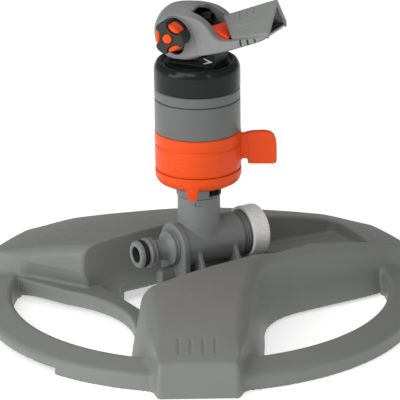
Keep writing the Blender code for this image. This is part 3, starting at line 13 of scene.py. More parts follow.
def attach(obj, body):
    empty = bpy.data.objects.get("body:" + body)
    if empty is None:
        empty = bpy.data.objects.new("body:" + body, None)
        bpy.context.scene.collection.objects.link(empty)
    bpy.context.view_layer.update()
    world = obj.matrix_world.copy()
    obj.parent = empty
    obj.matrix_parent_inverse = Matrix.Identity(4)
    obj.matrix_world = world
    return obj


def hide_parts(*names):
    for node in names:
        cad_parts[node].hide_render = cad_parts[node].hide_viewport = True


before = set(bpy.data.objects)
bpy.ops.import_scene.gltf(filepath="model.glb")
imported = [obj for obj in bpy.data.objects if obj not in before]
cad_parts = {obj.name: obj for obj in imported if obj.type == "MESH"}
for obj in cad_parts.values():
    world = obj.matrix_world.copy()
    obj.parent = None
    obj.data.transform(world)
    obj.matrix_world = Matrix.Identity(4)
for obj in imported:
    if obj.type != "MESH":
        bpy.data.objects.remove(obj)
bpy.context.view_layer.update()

# Base sled: one polypropylene moulding, a ground ring with three hollow legs that rise to a low dome.
# Its drafted walls are 2.6 mm thick with soft folds, and the skin has a fine spark grain.
# A trough across it holds the hose connection, and two bosses in the hub's floor take the tee's screws.
MM = 0.001
TEE_AZ = 30.0
FRONT_LEG, EAST_LEG, WEST_LEG = -90, 30, 150
SLED_WALL = 2.6
DOME_TOP = 46.5
DOME_R = 370.0
RING_OUTER = 130.0
RING_INNER = 112.7
RING_CROWN = 14.6
HEEL_REACH = 139
CREST_REACH = 136
OPENING_REACH = 92.5
OPENING_R = 42.1
HUB_FLOOR = 8.6
STEP_FLOOR = 22.0
CHANNEL_START = -32.0
HUB_END = 58.0
CHANNEL_END = 108.5
CHANNEL_TOP = 70.0
CHANNEL_DRAFT = 1.5
SCREWS_ALONG = (3.0, 40.0)
TOE_LINES = (-12.8, -5.8, 1.5, 8.6)
COLUMN_BACK = 4.5
column = Matrix.Translation((0, COLUMN_BACK, 0))
tee_plan = column @ Matrix.Rotation(math.radians(TEE_AZ), 4, "Z")


def meet(a, b, radius):
    """What two shapes share, with the edge between them rounded."""
    over_a, over_b = np.maximum(a + radius, 0), np.maximum(b + radius, 0)
    return np.minimum(-radius, np.maximum(a, b)) + np.hypot(over_a, over_b)


def join(a, b, radius):
    """Two shapes as one, with a fillet between them."""
    under_a, under_b = np.maximum(radius - a, 0), np.maximum(radius - b, 0)
    return np.maximum(radius, np.minimum(a, b)) - np.hypot(under_a, under_b)


def outline(x, y, points):
    """Distance to a closed outline, negative inside it."""
    nearest, inside = 1e9, False
    for (ax, ay), (bx, by) in zip(points, points[1:] + points[:1]):
        ex, ey = bx - ax, by - ay
        along = np.clip(((x - ax) * ex + (y - ay) * ey) / (ex * ex + ey * ey), 0, 1)
        nearest = np.minimum(nearest, (x - ax - ex * along) ** 2 + (y - ay - ey * along) ** 2)
        inside = inside ^ (((ay > y) != (by > y)) & (x < ax + ex * (y - ay) / (ey or 1e-9)))
    return np.where(inside, -1, 1) * np.sqrt(nearest)


def charted(points, low, high, step=1.0):
    """An outline's distance, worked out once on a fine plan and then read between its lines."""
    xs, ys = np.arange(low[0], high[0], step), np.arange(low[1], high[1], step)
    chart = outline(xs[:, None], ys[None, :], points)

    def read(x, y):
        u = np.clip((x - low[0]) / step, 0, len(xs) - 1.001)
        v = np.clip((y - low[1]) / step, 0, len(ys) - 1.001)
        i, k = np.floor(u).astype(int), np.floor(v).astype(int)
        u, v = u - i, v - k
        left = chart[i, k] * (1 - v) + chart[i, k + 1] * v
        return left * (1 - u) + (chart[i + 1, k] * (1 - v) + chart[i + 1, k + 1] * v) * u

    return read


def eased(corners):
    """A smooth outline through (point, ease) corners, each rounded over its ease to both sides."""
    points = []
    for i, (here, ease) in enumerate(corners):
        here = Vector(here)
        before = Vector(corners[i - 1][0]) - here
        after = Vector(corners[(i + 1) % len(corners)][0]) - here
        start = here + before * min(0.45, ease / before.length)
        end = here + after * min(0.45, ease / after.length)
        for t in (0, 0.25, 0.5, 0.75, 1):
            points.append(tuple(start.lerp(here, t).lerp(here.lerp(end, t), t)))
    return points


def shown(name, points, faces, seat, finish, normals=None):
    """A mesh object from millimetre points, set in the scene at its seat."""
    points = np.asarray(points, float) @ np.array(seat.to_3x3()).T + np.array(seat.translation)
    mesh = bpy.data.meshes.new(name)
    mesh.from_pydata((points * MM).tolist(), [], faces)
    mesh.validate()
    mesh.shade_smooth()
    if normals is not None:
        mesh.normals_split_custom_set_from_vertices((normals @ np.array(seat.to_3x3()).T).tolist())
    mesh.materials.append(finish)
    obj = bpy.data.objects.new(name, mesh)
    bpy.context.scene.collection.objects.link(obj)
    return obj


def moulded(name, field, low, high, step, seat, finish):
    """A closed skin where a distance field is zero: a point in each crossed cell, drawn onto the surface."""

    def field_at(p):
        return np.asarray(field(p[:, 0], p[:, 1], p[:, 2]), float)

    axes = [np.arange(a - 1.5 * step, b + 2.5 * step, step) for a, b in zip(low, high)]
    value = field(axes[0][:, None, None], axes[1][None, :, None], axes[2][None, None, :])
    value = np.broadcast_to(value, [len(axis) for axis in axes])
    solid = value < 0
    count = sum(solid[i:i - 1 or None, j:j - 1 or None, k:k - 1 or None].astype(np.int8)
                for i in (0, 1) for j in (0, 1) for k in (0, 1))
    cells = np.argwhere((count > 0) & (count < 8))
    number = np.full(count.shape, -1, np.int64)
    number[tuple(cells.T)] = np.arange(len(cells))
    total, hits = np.zeros((len(cells), 3)), np.zeros(len(cells))
    for corner in np.ndindex(2, 2, 2):
        for axis in range(3):
            if corner[axis] == 0:
                here, there = cells + corner, cells + corner
                there[:, axis] += 1
                a, b = value[tuple(here.T)], value[tuple(there.T)]
                crossed = (a < 0) != (b < 0)
                spot = here[crossed].astype(float)
                spot[:, axis] += a[crossed] / (a - b)[crossed]
                total[crossed] += spot
                hits[crossed] += 1
    points = np.array([axis[0] for axis in axes]) + total / hits[:, None] * step
    shift = np.eye(3) * step * 0.1
    for turn in range(3):
        slope = np.stack([field_at(points + s) - field_at(points - s) for s in shift], 1) / (0.2 * step)
        steep = np.maximum((slope ** 2).sum(1), 0.09)[:, None]
        if turn < 2:
            move = field_at(points)[:, None] * slope / steep
            length = np.maximum(np.linalg.norm(move, axis=1), 1e-9)
            points -= move * np.minimum(1, 0.6 * step / length)[:, None]
    normals = slope / np.maximum(np.linalg.norm(slope, axis=1), 1e-9)[:, None]
    faces = []
    for axis in range(3):
        a, b = np.eye(3, dtype=int)[[(axis + 1) % 3, (axis + 2) % 3]]
        first = np.take(solid, range(solid.shape[axis] - 1), axis)
        at = np.argwhere(first != np.take(solid, range(1, solid.shape[axis]), axis))
        at = at[((at @ (a + b) > 0) & (at @ a > 0) & (at @ b > 0))]
        quads = np.stack([number[tuple((at - s).T)] for s in (a + b, b, 0 * a, a)], 1)
        quads[~first[tuple(at.T)]] = quads[~first[tuple(at.T)]][:, ::-1]
        faces += quads.tolist()
    return shown(name, points, faces, seat, finish, normals)


def node(tree, kind, inputs=(), **settings):
    """A shader node with its settings, and its inputs given as values or as sockets to join."""
    made = tree.nodes.new(kind)
    for key, value in settings.items():
        setattr(made, key, value)
    for key, value in dict(inputs).items():
        if isinstance(value, bpy.types.NodeSocket):
            tree.links.new(value, made.inputs[key])
        else:
            made.inputs[key].default_value = value
    return made


def plastic(name, colour, roughness, grain=0.02, grain_size=0.5, cloud=0.06, coat=0.0, gloss=0.4, glow=0.0):
    """Moulded plastic: faint clouds of colour, a spark grain, uneven polish, and sharp edges painted paler: a
    painted highlight along them, with a little wear.
    """
    made = bpy.data.materials.new(name)
    made.use_nodes = True
    tree = made.node_tree
    shader = tree.nodes["Principled BSDF"]
    place = node(tree, "ShaderNodeTexCoord").outputs["Object"]
    noise = "ShaderNodeTexNoise"
    flow = node(tree, noise, {"Vector": place, "Scale": 38.0, "Detail": 5.0, "Roughness": 0.55})
    fine = node(tree, noise, {"Vector": place, "Scale": 1000.0 / grain_size, "Detail": 3.0})
    smear = node(tree, noise, {"Vector": place, "Scale": 190.0, "Detail": 6.0, "Roughness": 0.7})
    # Sharp edges are painted paler by how pointed they are: a painted highlight along the edges, partly wear.
    edges = node(tree, "ShaderNodeNewGeometry").outputs["Pointiness"]
    edge_highlight_and_wear = node(tree, "ShaderNodeValToRGB", {"Fac": edges})
    edge_highlight_and_wear.color_ramp.elements[0].position, edge_highlight_and_wear.color_ramp.elements[1].position = 0.53, 0.62
    edge_highlight_and_wear.color_ramp.elements[1].color = (0.35, 0.35, 0.35, 1)
    low, high = (tuple(min(1, c * share) for c in colour) + (1,) for share in (1 - cloud, 1 + cloud))
    clouds = node(tree, "ShaderNodeMix", {0: flow.outputs["Fac"], 6: low, 7: high}, data_type="RGBA")
    # The paler colour of the painted edge highlight.
    pale = tuple(min(1, c * 1.35 + 0.012) for c in colour) + (1,)
    tint = node(tree, "ShaderNodeMix", {
        0: edge_highlight_and_wear.outputs["Color"], 6: clouds.outputs[2], 7: pale}, data_type="RGBA")
    tree.links.new(tint.outputs[2], shader.inputs["Base Color"])
    polish = node(tree, "ShaderNodeMapRange", {
        "Value": smear.outputs["Fac"], "From Min": 0.3, "From Max": 0.7,
        "To Min": roughness - 0.05, "To Max": roughness + 0.06})
    tree.links.new(polish.outputs["Result"], shader.inputs["Roughness"])
    bump = node(tree, "ShaderNodeBump", {
        "Strength": 1.0, "Distance": grain * MM, "Height": fine.outputs["Fac"]})
    tree.links.new(bump.outputs["Normal"], shader.inputs["Normal"])
    shader.inputs["Coat Weight"].default_value = coat
    shader.inputs["Coat Roughness"].default_value = 0.12
    shader.inputs["Specular IOR Level"].default_value = gloss
    shader.inputs["Subsurface Weight"].default_value = glow
    shader.inputs["Subsurface Scale"].default_value = 0.0015
    return made


def on_leg(azimuth, reach, side):
    """A plan point at a reach along a leg and a distance to its left."""
    c, s = math.cos(math.radians(azimuth)), math.sin(math.radians(azimuth))
    return reach * c - side * s, reach * s + side * c


def turned_to(azimuth, x, y):
    """Distances out along an azimuth and to its left."""
    c, s = math.cos(math.radians(azimuth)), math.sin(math.radians(azimuth))
    return x * c + y * s, y * c - x * s


def leg_line(azimuth, *corners):
    """A leg's part of an outline, from (reach, side, ease) corners."""
    return [(on_leg(azimuth, reach, side), ease) for reach, side, ease in corners]


def opening_end(azimuth, grow):
    """The round inner end of the opening between two legs."""
    middle, line = on_leg(azimuth, OPENING_REACH, 0), []
    for turn in (30, 15, 0, -15, -30):
        out = on_leg(azimuth + 180 + turn, OPENING_R + grow, 0)
        line.append(((middle[0] + out[0], middle[1] + out[1]), 5))
    return line


foot_line = [
    *leg_line(FRONT_LEG, (HEEL_REACH, 22.0, 1.6), (127, 26.0, 5), (104.7, 37.5, 10), (70, 38, 12)),
    *opening_end(-30, 0.0),
    *leg_line(EAST_LEG, (70, -38, 12), (104.7, -38, 10), (127, -27.5, 5), (HEEL_REACH, -24, 1.6),
              (HEEL_REACH, 24, 1.6), (127, 30, 5), (112.7, 46, 8)),
    ((62, 91), 10), ((40, 83), 12), ((-40, 83), 12), ((-62, 91), 10),
    *leg_line(WEST_LEG, (112.7, -46, 8), (127, -30, 5), (HEEL_REACH, -24, 1.6), (HEEL_REACH, 24, 1.6),
              (127, 27.5, 5), (104.7, 33, 8), (55, 33, 6)),
    *leg_line(FRONT_LEG, (60, -41, 10), (104.7, -41, 10), (127, -28.5, 5), (HEEL_REACH, -25.2, 1.6))]
crest_line = [
    *leg_line(FRONT_LEG, (CREST_REACH, 21.2, 1.6), (127, 22.9, 5), (104.7, 25.0, 10), (70, 28.4, 12)),
    *opening_end(-30, 5.0),
    *leg_line(EAST_LEG, (70, -29, 12), (104.7, -26.5, 10), (127, -24.6, 5), (CREST_REACH, -23.2, 1.6),
              (CREST_REACH, 23.2, 1.6), (127, 26, 5), (112.7, 42.5, 8)),
    ((62, 87), 10), ((40, 79), 12), ((-40, 79), 12), ((-62, 87), 10),
    *leg_line(WEST_LEG, (112.7, -42.5, 8), (127, -26, 5), (CREST_REACH, -23.2, 1.6), (CREST_REACH, 23.2, 1.6),
              (127, 24.6, 5), (104.7, 30, 8), (55, 31, 6)),
    *leg_line(FRONT_LEG, (60, -34, 10), (104.7, -28.5, 10), (127, -25.6, 5), (CREST_REACH, -24.4, 1.6))]
foot_at, crest_at = (charted(eased(line), (-140, -150), (140, 145)) for line in (foot_line, crest_line))


def sled(x, y, z):
    """The sled's skin: domed legs, channel, ring, hollow underside, hub floor, strut and bosses."""
    dome = DOME_TOP - (x * x + y * y) / (2 * DOME_R)
    rise = np.clip(z / dome, -0.3, 1.3)
    side = 0.95 * ((1 - rise) * foot_at(x, y) + rise * crest_at(x, y))
    west, near = turned_to(WEST_LEG, x, y)
    shelf = np.clip(24.0 - z, 0, 8) * np.clip(near / 6 - 3.6, 0, 1)
    side += 0.32 * shelf * np.clip(west / 8 - 5, 0, 1) * np.clip(13.5 - west / 8, 0, 1)
    reach = np.hypot(x, y)
    fold = np.interp(reach, (0, 108, 130), (7.0, 6.0, 1.3))
    body = meet(side, 0.97 * (z - dome), fold)

    along, left = turned_to(TEE_AZ, x, y)
    across = np.abs(left)
    half = np.interp(along, (-100, 0, 30, 60, CHANNEL_END), (41, 37.5, 34, 27.5, 23))

    def trough(end, floor):
        lean = CHANNEL_DRAFT * (CHANNEL_TOP - z) / (CHANNEL_TOP - floor)
        return meet(meet(across - half + lean, along - end + lean, 5.0), floor - z, 2.4)

    lean = CHANNEL_DRAFT * (CHANNEL_TOP - z) / (CHANNEL_TOP - HUB_FLOOR)
    gap = meet(across - half + lean, along - CHANNEL_START + lean, 1.5)
    far = np.maximum(trough(CHANNEL_END, STEP_FLOOR), 50.0 - along)
    cut = np.minimum(join(trough(HUB_END, HUB_FLOOR), far, 1.6), gap)
    body = meet(body, -cut, 1.5)

    crown = z - RING_CROWN + 0.337 * np.maximum(reach - 115.7, 0)
    ring = meet(meet(reach - RING_OUTER, RING_INNER - reach, 1.0), 0.95 * crown, 2.6)
    skin = join(body, ring, 2.6)
    toes = sum(np.exp(-((x - at) / 0.8) ** 2) for at in TOE_LINES)
    skin = skin + 0.55 * toes * np.clip(7.0 - np.abs(y + 121.7), 0, 1)
    shell = np.maximum(skin, -(skin + SLED_WALL))
    slant = 0.88 * (18.0 - left) - 0.47 * np.maximum(-19.0 - along, 0)
    hole = np.maximum(np.maximum(np.abs(along + 20.0) - 16.0, slant), left - 36.5)
    under_wall = np.maximum(np.maximum(gap - SLED_WALL - 0.2, z - 4.0), 53.0 - reach)
    shell = meet(shell, -np.minimum(np.maximum(hole, z - 11.0), under_wall), 0.5)

    bow = along + 55.0 + 17.0 * (np.minimum(across, 42.0) / 47.0) ** 2
    bow += 0.413 * np.maximum(across - 42.0, 0)
    strut = meet(meet(-bow, along + 45.5, 1.2), np.abs(z - 8.75) - 4.75, 1.4)
    strut = np.maximum(strut, np.maximum(across - 80.0, -(skin + SLED_WALL)))
    shell = join(shell, strut, 1.2)
    screws = np.minimum.reduce([np.hypot(along - at, across) for at in SCREWS_ALONG])
    shell = np.minimum(shell, np.maximum(screws - 4.5, np.abs(z - 5.6) - 2.0))
    lifted = np.maximum(reach - 111.4, z - 1.8)
    return np.maximum(np.maximum(shell, -lifted), np.maximum(-z, 2.1 - screws))


sled_grey = plastic("sled_grey", (0.211, 0.219, 0.210), 0.47, grain=0.05, grain_size=0.7, cloud=0.05)
base = moulded("sled", sled, (-131, -140, -0.5), (131, 131, 48), 1.0, column, sled_grey)
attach(base, "base")
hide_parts("base_sled")

# Tee: a grey polypropylene fitting with a riser for the column, a plate for the nipple and a threaded spigot.
# Keel, two cradle fins and foot are moulded with it, and two steel screws hold the foot to the hub floor.
TEE_Z = 44.8
TUBE_R = 14.0
RISER_R = 12.7
PLATE_R = 14.6
TEE_BORE = 9.0
RISER_BORE = 9.6
KEEL_NOSE = -28.4
KEEL_TOP = -11.6
SPIGOT_END = 37.1
TEE_FLOOR = HUB_FLOOR + 0.3 - TEE_Z
THREAD_PITCH = 1.814
tee_axis = tee_plan @ Matrix.Translation((0, 0, TEE_Z))
along_tee = tee_axis @ Matrix.Rotation(math.radians(90.0), 4, "Y")


def tee(x, y, z):
    """The tee about its own tube, with riser, threaded spigot, plate, keel, fins and foot."""
    tube, rise, side = np.hypot(y, z), np.hypot(x, y), np.abs(y)
    riser = meet(rise - RISER_R, np.abs(z - 15.3) - 15.3, 0.4)
    body = join(meet(tube - TUBE_R, np.abs(x - 2.75) - 21.25, 0.6), riser, 1.0)
    turn = x / THREAD_PITCH - np.arctan2(z, y) / (2 * math.pi)
    thread = 0.6 * (tube - 12.65 - 0.55 * np.cos(2 * math.pi * turn))
    body = join(body, meet(np.maximum(thread, 20.0 - x), x - SPIGOT_END, 0.6), 0.3)
    bow = np.where(z > 0, tube, side) - PLATE_R
    flange = meet(bow, np.abs(x + 16.5) - 2.0, 0.7)
    keel = meet(meet(side - 3.4, KEEL_NOSE - x, 1.6), z - KEEL_TOP, 4.0)
    keel = np.maximum(keel, x + 16.0)
    slant = ((side - 29.0) * 31.9 + (z + 31.9) * 15.6) / 35.5
    fins = np.minimum(np.abs(x + 7.3), np.abs(x - 17.2)) - 1.2
    fins = meet(np.maximum(np.maximum(slant, side - 29.0), z), fins, 0.5)
    foot = meet(meet(np.abs(x - 15.3) - 33.8, side - 9.0, 3.0), z - TEE_FLOOR - 3.0, 0.5)
    body = join(join(body, join(flange, keel, 0.8), 0.8), join(fins, foot, 0.8), 0.8)
    screws = np.minimum.reduce([np.hypot(x - at, y) for at in SCREWS_ALONG])
    body = np.maximum(body, np.maximum(TEE_FLOOR - z, np.maximum(2.2 - screws, TEE_BORE - tube)))
    body = np.maximum(body, np.where(z > 0, RISER_BORE - rise, -5.0))
    mark = np.maximum(np.abs(0.866 * x - 0.5 * y) - 2.1, np.abs(z - 27.4) - 0.9)
    return np.maximum(body, -np.maximum(mark, np.maximum(12.2 - rise, 0.5 * x + 0.866 * y)))


tee_grey = plastic("tee_grey", (0.205, 0.212, 0.209), 0.38, grain=0.012, grain_size=0.5, cloud=0.03)
tee_skin = moulded("tee", tee, (-30, -30, -36.2), (50, 30, 31), 0.6, tee_axis, tee_grey)
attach(tee_skin, "base")
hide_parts("tee_body")


def steel(name, colour=(0.56, 0.56, 0.57), roughness=0.28, scratch=900.0):
    """Bright steel with fine drawn scratches."""
    made = bpy.data.materials.new(name)
    made.use_nodes = True
    tree = made.node_tree
    shader = tree.nodes["Principled BSDF"]
    place = node(tree, "ShaderNodeTexCoord").outputs["Object"]
    lines = node(tree, "ShaderNodeTexNoise", {"Vector": place, "Scale": scratch, "Detail": 4.0})
    scratched = lines.outputs["Fac"]
    worn = node(tree, "ShaderNodeMapRange", {
        "Value": scratched, "To Min": roughness - 0.08, "To Max": roughness + 0.12})
    tree.links.new(worn.outputs["Result"], shader.inputs["Roughness"])
    bump = node(tree, "ShaderNodeBump", {"Strength": 0.4, "Distance": 0.01 * MM, "Height": scratched})
    tree.links.new(bump.outputs["Normal"], shader.inputs["Normal"])
    shader.inputs["Base Color"].default_value = (*colour, 1)
    shader.inputs["Metallic"].default_value = 1.0
    return made


def finished(cad_node, finish):
    """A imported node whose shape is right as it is, given its real finish."""
    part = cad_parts[cad_node]
    part.data.materials.clear()
    part.data.materials.append(finish)


bright_steel = steel("bright_steel")
for name in ("tee_screw_1", "tee_screw_2"):
    finished(name, bright_steel)

# Hose nipple: a turned-looking moulding pressed into the tee, with a snap groove and a flared flange.
# A black rubber ring seals it, its bore is painted near-black as shade, and a black plastic sieve sits in its
# throat.
RING_SEAT = 6.2
NIPPLE_BORE = 4.7


def lathe(name, corners, seat, finish, sides=128, ribs=None):
    """A closed section of ((radius, height), ease) corners turned about the seat's Z, and its ribs."""
    rows = eased(corners)
    radius, height = np.array(rows).T
    angle = np.arange(sides)[:, None] * 2 * math.pi / sides
    grown = radius[None, :] + (0 * angle if ribs is None else ribs(radius[None, :], height[None, :], angle))
    points = np.stack([grown * np.cos(angle), grown * np.sin(angle), height + 0 * grown], 2).reshape(-1, 3)
    count = len(rows)
    signed = sum(a[0] * b[1] - b[0] * a[1] for a, b in zip(rows, rows[1:] + rows[:1]))
    faces = []
    for i in range(sides):
        for k in range(count):
            here, there = i * count + k, (i + 1) % sides * count + k
            up_here, up_there = i * count + (k + 1) % count, (i + 1) % sides * count + (k + 1) % count
            quad = (here, there, up_there, up_here)
            faces.append(quad if signed > 0 else quad[::-1])
    obj = shown(name, points, faces, seat, finish)
    obj.data.set_sharp_from_angle(angle=math.radians(38))
    return obj


nipple = lathe("nipple", [
    ((7.1, -9.0), 0.3), ((8.5, -9.0), 0.4), ((8.5, -18.8), 0.2), ((10.4, -18.8), 0.2), ((10.4, -19.6), 0.2),
    ((10.0, -19.9), 0.2), ((10.0, -20.6), 0.2), ((10.4, -20.9), 0.2), ((10.4, -22.2), 0.5),
    ((9.4, -22.6), 0.8), ((7.0, -24.4), 2.0), ((6.2, -27.8), 2.0), ((6.2, -31.0), 0.5),
    ((8.4, -32.9), 0.3), ((8.4, -33.7), 0.3), ((7.5, -34.2), 0.3), ((7.5, -34.9), 0.3), ((8.8, -35.3), 0.3),
    ((8.8, -36.8), 0.4), ((8.1, -37.3), 0.3), ((8.1, -38.0), 0.2), ((RING_SEAT, -38.0), 0.1),
    ((RING_SEAT, -41.0), 0.1), ((8.1, -41.0), 0.3), ((8.1, -42.6), 0.9), ((7.2, -44.0), 0.9),
    ((5.4, -44.0), 0.5), ((NIPPLE_BORE, -43.2), 0.5), ((NIPPLE_BORE, -15.0), 0.5), ((7.1, -14.0), 0.5)],
    along_tee, tee_grey)
# The faces inside the bore get a near-black finish: painted shade inside the tube.
nipple.data.materials.append(plastic("bore_painted_shade", (0.035, 0.038, 0.036), 0.6, grain=0.02, grain_size=0.4))
for face in nipple.data.polygons:
    middle = along_tee.inverted() @ (face.center / MM)
    face.material_index = int(math.hypot(middle.x, middle.y) < NIPPLE_BORE + 0.2)
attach(nipple, "base")
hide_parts("hose_nipple")
seal_rubber = plastic("seal_rubber", (0.012, 0.012, 0.012), 0.5, grain=0.008, grain_size=0.25, gloss=0.25)


def ring_section(radius, height, wire):
    """The round section of a rubber ring."""
    return [((radius + wire * math.cos(a), height + wire * math.sin(a)), wire * 0.25)
            for a in (k * math.pi / 4 for k in range(8))]


o_ring = lathe("nipple_ring", ring_section(RING_SEAT + 1.27, -39.5, 1.0), along_tee, seal_rubber)
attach(o_ring, "base")
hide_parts("nipple_o_ring")
finished("inlet_sieve", plastic("sieve_plastic", (0.03, 0.03, 0.03), 0.5))

# End cap: a pale grey screw cap with a smooth lip and a fine knurl, so that wet hands can turn it.
# It closes the tee's far end on a flat rubber seal, or comes off to pass water on to a second sprinkler.
CAP_START = 29.2
CAP_END = 41.1
CAP_R = 15.6
CAP_BORE = 13.5
KNURLS = 64


def knurl(radius, height, angle):
    """How far the cap's wall dips between its ribs."""
    on = np.clip((height - CAP_START - 3.4) / 0.4, 0, 1) * np.clip((CAP_END - 0.7 - height) / 0.4, 0, 1)
    return np.where(radius > 15.0, on * 0.28 * (np.abs(np.cos(KNURLS * angle / 2)) ** 0.6 - 1.0), 0)


cap_grey = plastic("cap_grey", (0.84, 0.825, 0.805), 0.5, grain=0.02, grain_size=0.4, cloud=0.03, glow=0.05)
cap = lathe("cap", [
    ((0.02, CAP_END), 0.0), ((14.0, CAP_END), 0.5), ((CAP_R, CAP_END - 1.3), 0.8),
    ((CAP_R, CAP_END - 3.0), 0.1), ((CAP_R, CAP_START + 4.2), 0.1), ((CAP_R, CAP_START + 3.2), 0.1),
    ((15.8, CAP_START + 2.9), 0.3),
    ((15.8, CAP_START + 0.4), 0.5), ((15.2, CAP_START), 0.4), ((13.9, CAP_START), 0.4),
    ((CAP_BORE, CAP_START + 0.6), 0.3), ((CAP_BORE, CAP_END - 1.9), 0.2), ((0.02, CAP_END - 1.9), 0.0)],
    along_tee, cap_grey, sides=KNURLS * 6, ribs=knurl)
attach(cap, "cap")
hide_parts("end_cap")
finished("cap_seal", seal_rubber)

# Neck: the short grey collar that joins the column to the tee's riser, with a slot for the black trip lever.
# A rubber seal above it lets the turret turn without a leak.
SLOT_AZ = -32.0
NECK_RIM_R = 13.4
STEM_R = 11.2
STEM_BORE = 8.0


def neck(x, y, z):
    """The neck's rim, the stem above it, the spigot into the riser and the lever's slot."""
    reach = np.hypot(x, y)
    body = meet(reach - NECK_RIM_R, np.abs(z - 79.35) - 3.65, 0.5)
    body = join(body, np.maximum(reach - STEM_R, np.abs(z - 86.0) - 6.0), 0.6)
    body = np.minimum(body, np.maximum(reach - 9.3, np.abs(z - 72.0) - 5.3))
    out, across = turned_to(SLOT_AZ, x, y)
    slot = np.maximum(np.abs(across) - 0.577 * out, np.maximum(9.8 - reach, np.abs(z - 78.9) - 2.0))
    body = meet(body, -slot, 0.3)
    return np.maximum(body, STEM_BORE - reach)


neck_skin = moulded("neck", neck, (-14, -14, 66), (14, 14, 92.5), 0.45, column, tee_grey)
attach(neck_skin, "base")
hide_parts("neck_collar")
soft_black = plastic("soft_black", (0.010, 0.012, 0.011), 0.36, grain=0.015, grain_size=0.4, cloud=0.1,
                     gloss=0.12)
finished("trip_lever", soft_black)
finished("neck_seal", seal_rubber)

# Turret housing: a smooth grey tube with satin walls, in two pieces with a thin dark seam.
# The glossy black collar on top is a separate screwed ring with a round shoulder and a sunk deck.
COLUMN_R = 25.45
COLLAR_R = 25.6
NECK_R = 23.7
ROUND = 192
column_grey = plastic("column_grey", (0.138, 0.146, 0.141), 0.34, grain=0.012, grain_size=0.5, cloud=0.03,
                      gloss=0.3)
housing = lathe("housing", [
    ((23.4, 150.0), 0.4), ((23.4, 136.3), 0.1), ((24.9, 136.3), 0.2), ((COLUMN_R, 135.8), 0.3),
    ((COLUMN_R, 116.6), 0.1), ((22.9, 116.6), 0.1), ((22.9, 85.4), 0.8), ((21.3, 83.6), 0.9),
    ((11.5, 83.6), 0.2), ((11.5, 86.4), 0.2), ((20.4, 86.4), 0.5), ((20.4, 118.6), 0.1),
    ((21.6, 118.6), 0.1), ((21.6, 150.0), 0.2)], column, column_grey, sides=ROUND)
band = lathe("band", [
    ((24.9, 142.9), 0.2), ((COLUMN_R, 142.4), 0.3), ((COLUMN_R, 137.1), 0.3), ((24.9, 136.6), 0.2),
    ((NECK_R, 136.6), 0.1), ((NECK_R, 142.9), 0.1)], column, column_grey, sides=ROUND)
gloss_black = plastic("gloss_black", (0.013, 0.017, 0.015), 0.20, grain=0.006, grain_size=0.6, cloud=0.1,
                      coat=0.06, gloss=0.14)
collar = lathe("collar", [
    ((22.2, 159.5), 0.5), ((23.6, 159.2), 0.9), ((25.0, 157.0), 1.2), ((COLLAR_R, 154.9), 1.2),
    ((COLLAR_R, 143.7), 0.4), ((25.2, 143.2), 0.2), ((NECK_R, 143.2), 0.1), ((NECK_R, 154.5), 0.2),
    ((5.0, 154.5), 0.2), ((5.0, 157.5), 0.2), ((20.4, 157.5), 0.5), ((21.2, 159.1), 0.5)],
    column, gloss_black, sides=ROUND)
for piece, cad_node, slot_name in ((housing, "turret_housing", "column_grey"),
                                   (band, "band_ring", "column_grey"),
                                   (collar, "top_collar", "gloss_black")):
    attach(piece, "turret")
    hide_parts(cad_node)
finished("housing_o_ring", seal_rubber)

# Sector rings: two orange rings that snap round the housing and are turned to set where the turret reverses.
# The upper one carries a thumb lever, the lower one a pointer over the neck, and both have raised marks.
TAB_AZ = -3.0
POINTER_AZ = -99.0
SECTOR_INSIDE = 23.2
SECTOR_R = 25.6
lever_line = eased([((24.0, 97.8), 0.2), ((29.3, 97.8), 1.2), ((29.5, 94.6), 0.8), ((46.6, 94.6), 2.2),
                    ((46.6, 115.0), 9.5), ((31.5, 115.0), 6.0), ((24.0, 112.4), 0.2)])
lever_at = charted(lever_line, (15, 85), (55, 125), 0.4)


def marks(x, y, z, spots):
    """Small raised scale marks at (azimuth, height) spots on a ring."""
    made = 1e9
    for azimuth, height in spots:
        out, side = turned_to(azimuth, x, y)
        bar = np.hypot(np.maximum(np.abs(side) - 2.0, 0), (z - height) * 1.2) - 0.5
        made = np.minimum(made, bar + 20.0 * (out < 0))
    return made


def upper_ring(x, y, z):
    """The upper ring: two shallow grooves round it, a thumb lever and three marks."""
    reach = np.hypot(x, y)
    skin = SECTOR_R - 0.55 * np.exp(-((z - 108.4) / 0.8) ** 2) - 0.45 * np.exp(-((z - 93.2) / 0.9) ** 2)
    ring = meet(meet(reach - skin, SECTOR_INSIDE - reach, 0.4), np.abs(z - 104.55) - 11.65, 0.5)
    out, side = turned_to(TAB_AZ, x, y)
    tab = meet(lever_at(out, z), np.abs(side) - 1.8 - 0.25 * np.clip((out - 29.0) / 1.5, 0, 1), 0.8)
    tab = np.maximum(tab, SECTOR_INSIDE + 0.6 - out)
    ring = join(ring, tab, 1.6)
    spots = [(-122, 102.3), (-122, 97.6), (-60, 102.3)]
    return join(ring, np.maximum(marks(x, y, z, spots), np.abs(reach - 24.6) - 1.3), 0.3)


def lower_ring(x, y, z):
    """The lower ring, drawn in at its foot, with a pointer that tapers down over the neck."""
    reach = np.hypot(x, y)
    out, side = turned_to(POINTER_AZ, x, y)
    skin = SECTOR_R - 0.8 * np.clip((88.8 - z) / 2.4, 0, 1) - 1.1 * np.clip((86.4 - z) / 1.4, 0, 1)
    ring = meet(meet(reach - skin, SECTOR_INSIDE - reach, 0.3), np.abs(z - 88.8) - 3.8, 0.4)
    drop = np.clip((88.0 - z) / 8.8, 0, 1)
    half = 4.6 - 2.2 * drop
    ridge = 0.5 * np.clip(1.0 - np.abs(side) / half, 0, 1)
    front = out - (25.3 - 0.9 * drop) - ridge
    blade = np.maximum(front, 23.3 - drop - out)
    tab = meet(blade, np.maximum(np.abs(side) - half, np.abs(z - 83.6) - 4.4), 0.5)
    ring = join(ring, tab, 0.8)
    return join(ring, np.maximum(marks(x, y, z, [(-122, 88.9)]), np.abs(reach - 24.6) - 1.3), 0.3)


